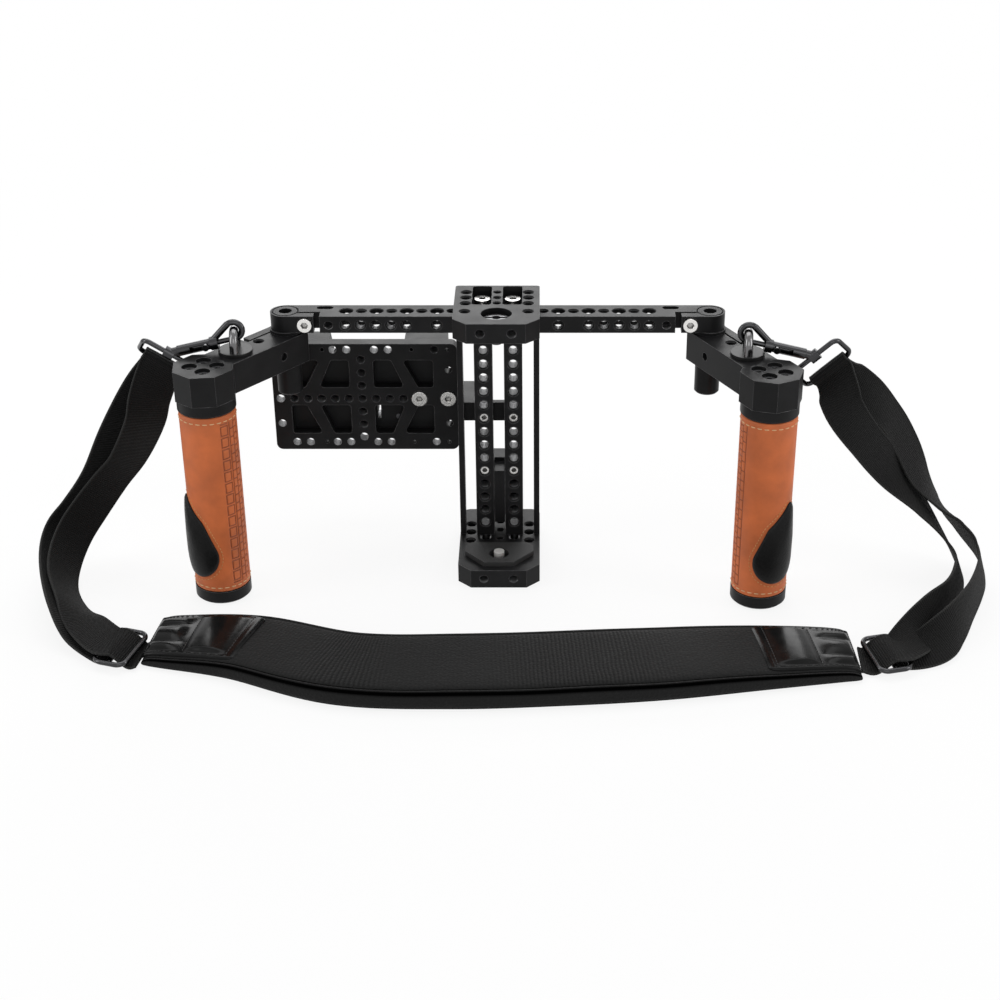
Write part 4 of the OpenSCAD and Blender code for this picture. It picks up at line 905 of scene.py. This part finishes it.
class CAGE_OT_thumb_pads(Operator):
    """Sew a crowned teardrop pad of black leather on each grip"""

    bl_idname = "cage.thumb_pads"
    bl_label = "Thumb pads"

    def execute(self, context):
        look, sizes = context.scene.cage_finish, context.scene.cage_grip
        leather, sewn = black_leather(look), thread("thumb_thread", (0.62, 0.3, 0.11))
        for side in SIDES:
            self.pad(side, sizes, leather)
            self.sew(side, sizes, sewn)
        return {"FINISHED"}

    def place(self, side, flat, lift):
        """Points on the grip from (distance round it, height) and their lift from the leather."""
        axis, radius, _, _ = grip_axis(side)
        angle = math.radians(THUMB_AT[side]) - TURN[side] * flat[:, 0] * MM / radius
        out = np.stack([np.cos(angle), np.sin(angle), 0 * angle], axis=1)
        points = out * (radius + np.reshape(lift, (-1, 1)))
        points[:, :2] += axis
        points[:, 2] = flat[:, 1] * MM
        return points, out

    def pad(self, side, sizes, leather):
        outline = teardrop(THUMB_POINTS)
        middle = np.array(THUMB_MIDDLE)
        rim = THUMB_RIM[-1][1]
        rows = THUMB_RIM + [(reach, rim + (sizes.thumb_h - rim) * (1 - reach**2.6) ** 0.75)
                            for reach in THUMB_CROWN]
        points = [self.place(side, middle + (outline - middle) * reach, np.full(len(outline), lift))[0]
                  for reach, lift in rows]
        if TURN[side] > 0:
            points = [row[::-1] for row in points]
        faces = skin_faces(len(points), len(outline))
        made = piece(f"{side}_thumb_cushion", np.vstack(points), faces, leather)
        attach(made, f"{side}_arm")
        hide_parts(f"{side}_thumb_pad")

    def sew(self, side, sizes, sewn):
        outline = teardrop(THUMB_STITCHES)
        ahead = np.roll(outline, -1, axis=0) - np.roll(outline, 1, axis=0)
        out = unit(np.stack([ahead[:, 1], -ahead[:, 0]], axis=1))
        line, normal = self.place(side, outline + THUMB_STITCH_GAP * out, 0)
        way = np.roll(line, -1, axis=0) - np.roll(line, 1, axis=0)
        made = stitches(f"{side}_thumb_stitches", zip(line, way, normal), THUMB_STITCH,
                        sizes.thread_r * THUMB_THREAD, sewn)
        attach(made, f"{side}_arm")


class CAGE_OT_webbing(Operator):
    """Lay the webbing from the pad over each strap loop and down to its slider"""

    bl_idname = "cage.webbing"
    bl_label = "Webbing"

    def execute(self, context):
        look, sizes = context.scene.cage_finish, context.scene.cage_strap
        weave = woven_webbing(look, sizes)
        for side in SIDES:
            route, first, last = web_route(side)
            rings, laid, run = web_rings(route, np.array(LOOPS[side][0]), sizes)
            parts = {"front": (0, first), "turn": (first, last), "back": (last, len(rings) - 1)}
            for name, (start, end) in parts.items():
                part = slice(start, end + 1)
                self.strip(side, name, rings[part], laid[part], run[end] - run[start], weave, sizes)
        return {"FINISHED"}

    def strip(self, side, name, rings, laid, length, weave, sizes):
        faces = skin_faces(*rings.shape[:2])
        made = piece(f"{side}_strap_{name}", rings.reshape(-1, 3), faces, weave, laid.reshape(-1, 2))
        bar, _, up, _ = loop_frame(side)
        bar = bar * MM
        if name == "turn":
            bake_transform(made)
        else:
            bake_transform(made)
        if name == "turn":
            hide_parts(f"{side}_webbing")


class CAGE_OT_neck_pad(Operator):
    """Build the neck pad with its sewn border"""

    bl_idname = "cage.neck_pad"
    bl_label = "Neck pad"

    def execute(self, context):
        look, sizes = context.scene.cage_finish, context.scene.cage_strap
        line, across = pad_route()
        run = distances(line[:, :2])
        half = np.array(PAD_HALF)
        q = np.concatenate([half[:, 0], [0], -half[::-1, 0]])
        h = np.concatenate([half[:, 1], [1], half[::-1, 1]])
        full = quarter(np.minimum(run, run[-1] - run) / PAD_ROUND)
        wide = sizes.pad_w / 2 * line[:, 2] * (PAD_TIP_W + (1 - PAD_TIP_W) * full)
        thick = sizes.pad_t * line[:, 3]
        level = np.where(h > 0.5, h * (PAD_TIP_T + (1 - PAD_TIP_T) * full[:, None]), h)
        sag = PAD_SAG * np.sin(run / 11)[:, None] * np.sin(q * 3.1 + 0.6)[None] * (h > 0.6)
        rings = np.empty((len(line), len(q), 3))
        rings[:, :, 0] = line[:, :1] * MM + across[:, :1] * wide[:, None] * q
        rings[:, :, 1] = line[:, 1:2] * MM + across[:, 1:] * wide[:, None] * q
        rings[:, :, 2] = np.maximum(thick[:, None] * level + sag, 0)
        laid = np.stack(np.broadcast_arrays(run[:, None] * MM, q[None]), axis=-1)
        faces = skin_faces(len(line), len(q))
        made = piece("neck_pad", rings.reshape(-1, 3), faces, knit_cover(look, sizes), laid.reshape(-1, 2))
        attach(made, "frame")
        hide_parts("strap_pad")
        return {"FINISHED"}


class CAGE_OT_patches(Operator):
    """Sew a glossy patch with raised lobes on each end of the neck pad"""

    bl_idname = "cage.patches"
    bl_label = "Glossy patches"

    def execute(self, context):
        look, sizes = context.scene.cage_finish, context.scene.cage_strap
        gloss, sewn = patent_leather(look), thread("black_thread", (0.012, 0.012, 0.012))
        for side in SIDES:
            self.patch(side, sizes, gloss, sewn)
        return {"FINISHED"}

    def surface(self, side, u, v, sizes):
        """Place of a point of the patch, from 0 to 1 inward from the pad's end and -1 to 1 across."""
        line, across = pad_route()
        start, end = PATCH_SPAN[side]
        at = np.clip((start + (end - start) * u) * PAD_STEPS, 0, len(line) - 1)
        index = np.arange(len(line))
        x, y, wide, thick = (np.interp(at, index, line[:, k]) for k in range(4))
        nx, ny = (np.interp(at, index, across[:, k]) for k in range(2))
        corner = np.clip((u - 1 + PATCH_CORNER) / PATCH_CORNER, 0, 1)
        q = v * PATCH_HALF * (1 - PATCH_CORNER * (1 - np.sqrt(1 - corner**2)))
        reach = sizes.pad_w / 2 * wide * q
        z = sizes.pad_t * thick * (1 - 0.12 * np.abs(q) ** 1.9)
        end_drop = np.clip(1 - u / PATCH_DROP, 0, 1) ** 2 * 0.28 * sizes.pad_t * thick
        return np.stack([x * MM + nx * reach, y * MM + ny * reach, z - end_drop], axis=-1)

    def raised(self, u, v):
        """Rib near the inner edge and three lobes toward the pad's end."""
        def crown(distance, half):
            return np.clip(1 - (distance / half) ** 2, 0, 1) ** 0.8

        high = crown(u - RIB_AT, RIB_HALF) * ease((RIB_SIDE - np.abs(v)) / FADE)
        start, end = LOBE_SPAN
        for middle, half, rise in LOBES:
            bulge = crown(v - middle, half) * rise
            high = np.maximum(high, bulge * ease((u - start) / FADE) * ease((end - u) / FADE))
        return high

    def patch(self, side, sizes, gloss, sewn):
        inward, across = PATCH_GRID
        length, half = PATCH_SIZE
        u, v = np.meshgrid(np.linspace(0, 1, inward), np.linspace(-1, 1, across), indexing="ij")
        base = self.surface(side, u, v, sizes)
        edge = np.minimum(np.minimum(u, 1 - u) * length, (1 - np.abs(v)) * half)
        full = PATCH_RIM + (1 - PATCH_RIM) * quarter(edge / PATCH_ROUND)
        top = base.copy()
        top[..., 2] += sizes.patch_t * full + sizes.lobe_h * self.raised(u, v)
        under = base.copy()
        under[..., 2] -= PATCH_SINK
        rows = np.concatenate([top, under[:, ::-1]], axis=1)
        if side == "left":
            rows = rows[:, ::-1]
        faces = skin_faces(*rows.shape[:2])
        made = piece(f"{side}_glossy_patch", rows.reshape(-1, 3), faces, gloss)
        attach(made, "frame")
        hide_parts(f"{side}_patch")
        self.sew(side, sizes, sewn)

    def sew(self, side, sizes, sewn):
        inset_u, inset_v = SEWN_INSET
        loop = [(u, -inset_v) for u in np.linspace(inset_u, 1 - inset_u, SEWN_LONG)]
        loop += [(1 - inset_u, v) for v in np.linspace(-inset_v, inset_v, SEWN_WIDE)[1:]]
        loop += [(u, inset_v) for u in np.linspace(1 - inset_u, inset_u, SEWN_LONG)[1:]]
        loop += [(inset_u, v) for v in np.linspace(inset_v, -inset_v, SEWN_WIDE)[1:-1]]
        row_u, row_v = SEWN_ROW_AT
        loop += [(row_u, v) for v in np.linspace(-row_v, row_v, SEWN_ROW)]
        flat = np.array(loop)
        line = self.surface(side, flat[:, 0], flat[:, 1], sizes)
        line[:, 2] += sizes.patch_t
        ahead = np.gradient(line, axis=0)
        ahead[-SEWN_ROW:] = line[-1] - line[-SEWN_ROW]
        up = np.tile((0, 0, 1.0), (len(line), 1))
        made = stitches(f"{side}_patch_stitches", zip(line, ahead, up), 2.0 * MM, 0.3 * MM, sewn)
        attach(made, "frame")


class CAGE_OT_stage(Operator):
    """Set up the floor, soft studio light and the camera"""

    bl_idname = "cage.stage"
    bl_label = "Stage"

    def execute(self, context):
        stage = context.scene.cage_stage
        self.camera(stage)
        self.floor()
        self.world()
        self.lamp("overhead", stage.key, (1.5, 0.9), (0, 0.35, 1.25), (0, -0.05, 0.1))
        self.lamp("back", stage.back, (1.5, 0.5), (0, 1.4, 0.78), (0, 0, 0.14))
        self.lamp("front", stage.fill, (1.2, 0.8), (0.1, -1.5, 0.9), (0, 0, 0.08))
        for name, x in (("left_strip", -1.1), ("right_strip", 1.1)):
            self.lamp(name, stage.side, (0.35, 0.9), (x, -0.35, 0.55), (0, 0, 0.1))
        context.scene.view_settings.view_transform = "Standard"
        return {"FINISHED"}

    def camera(self, stage):
        data = bpy.data.cameras.new("camera")
        data.lens = stage.lens
        data.sensor_width = 36
        data.shift_x = -0.04
        made = placed("camera", data)
        made.location = (0.02517, -0.9904, 0.5654)
        made.rotation_euler = (math.radians(61.93), 0, 0)
        bpy.context.scene.camera = made

    def floor(self):
        reach, level = 6.0, -0.5 * MM
        mesh = bpy.data.meshes.new("floor")
        corners = [(x * reach, y * reach, level) for x, y in ((-1, -1), (1, -1), (1, 1), (-1, 1))]
        mesh.from_pydata(corners, [], [(0, 1, 2, 3)])
        placed("floor", mesh)
        finish = Finish("floor_white")
        tree = finish.tree
        finish.shade({"Base Color": (0.86, 0.86, 0.86), "Roughness": 0.9, "Specular IOR Level": 0.1})
        glow = finish.add("ShaderNodeEmission", {"Color": (1, 1, 1), "Strength": 1.0})
        seen = self.seen(tree)
        away = finish.add("ShaderNodeVectorMath", {0: finish.place}, operation="LENGTH").outputs["Value"]
        glowing = finish.sum("MULTIPLY", seen, finish.span(away, 0.3, 0.9, 0.86, 1.0))
        mix = finish.add("ShaderNodeMixShader", {0: glowing})
        tree.links.new(finish.surface.outputs[0], mix.inputs[1])
        tree.links.new(glow.outputs[0], mix.inputs[2])
        tree.links.new(mix.outputs[0], tree.nodes["Material Output"].inputs["Surface"])
        mesh.materials.append(finish.material)

    def seen(self, tree):
        """1 where the camera looks, also by way of a reflection or a clear piece."""
        rays = tree.nodes.new("ShaderNodeLightPath").outputs
        found = rays["Is Camera Ray"]
        for name in ("Is Glossy Ray", "Is Transmission Ray"):
            most = tree.nodes.new("ShaderNodeMath")
            most.operation = "MAXIMUM"
            tree.links.new(found, most.inputs[0])
            tree.links.new(rays[name], most.inputs[1])
            found = most.outputs[0]
        return found

    def world(self):
        world = bpy.data.worlds.new("studio")
        bpy.context.scene.world = world
        world.use_nodes = True
        tree = world.node_tree
        back = tree.nodes["Background"]
        back.inputs["Color"].default_value = (1, 1, 1, 1)
        level = tree.nodes.new("ShaderNodeMapRange")
        tree.links.new(self.seen(tree), level.inputs["Value"])
        level.inputs["To Min"].default_value = 0.4
        level.inputs["To Max"].default_value = 1.0
        tree.links.new(level.outputs["Result"], back.inputs["Strength"])

    def lamp(self, name, power, spread, place, aim):
        data = bpy.data.lights.new(name, "AREA")
        data.shape = "RECTANGLE"
        data.size, data.size_y = spread
        data.energy = power
        made = placed(name, data)
        made.location = place
        way = Vector(aim) - Vector(place)
        made.rotation_euler = way.to_track_quat("-Z", "Y").to_euler()


STEPS = (
    CAGE_OT_stage, CAGE_OT_metal, CAGE_OT_webbing, CAGE_OT_neck_pad, CAGE_OT_patches,
    CAGE_OT_grips, CAGE_OT_thumb_pads,
)
GROUPS = {
    "cage_finish": CAGE_PG_finish, "cage_grip": CAGE_PG_grip, "cage_strap": CAGE_PG_strap,
    "cage_stage": CAGE_PG_stage,
}


class CAGE_PT_sidebar(Panel):
    """Steps and settings of the monitor cage"""

    bl_idname = "CAGE_PT_sidebar"
    bl_label = "Monitor Cage"
    bl_space_type = "VIEW_3D"
    bl_region_type = "UI"
    bl_category = "Cage"

    def draw(self, context):
        for step in STEPS:
            self.layout.operator(step.bl_idname)
        for group, kind in GROUPS.items():
            box = self.layout.box()
            for name in kind.__annotations__:
                box.prop(getattr(context.scene, group), name)


def register():
    for kind in (*GROUPS.values(), *STEPS, CAGE_PT_sidebar):
        bpy.utils.register_class(kind)
    for name, kind in GROUPS.items():
        setattr(bpy.types.Scene, name, PointerProperty(type=kind))


def unregister():
    for name in GROUPS:
        delattr(bpy.types.Scene, name)
    for kind in (CAGE_PT_sidebar, *reversed(STEPS), *GROUPS.values()):
        bpy.utils.unregister_class(kind)


def main():
    """Runs every step."""
    register()
    bpy.ops.cage.stage()
    bpy.ops.cage.metal()
    bpy.ops.cage.webbing()
    bpy.ops.cage.neck_pad()
    bpy.ops.cage.patches()
    bpy.ops.cage.grips()
    bpy.ops.cage.thumb_pads()


if __name__ == "__main__":
    main()
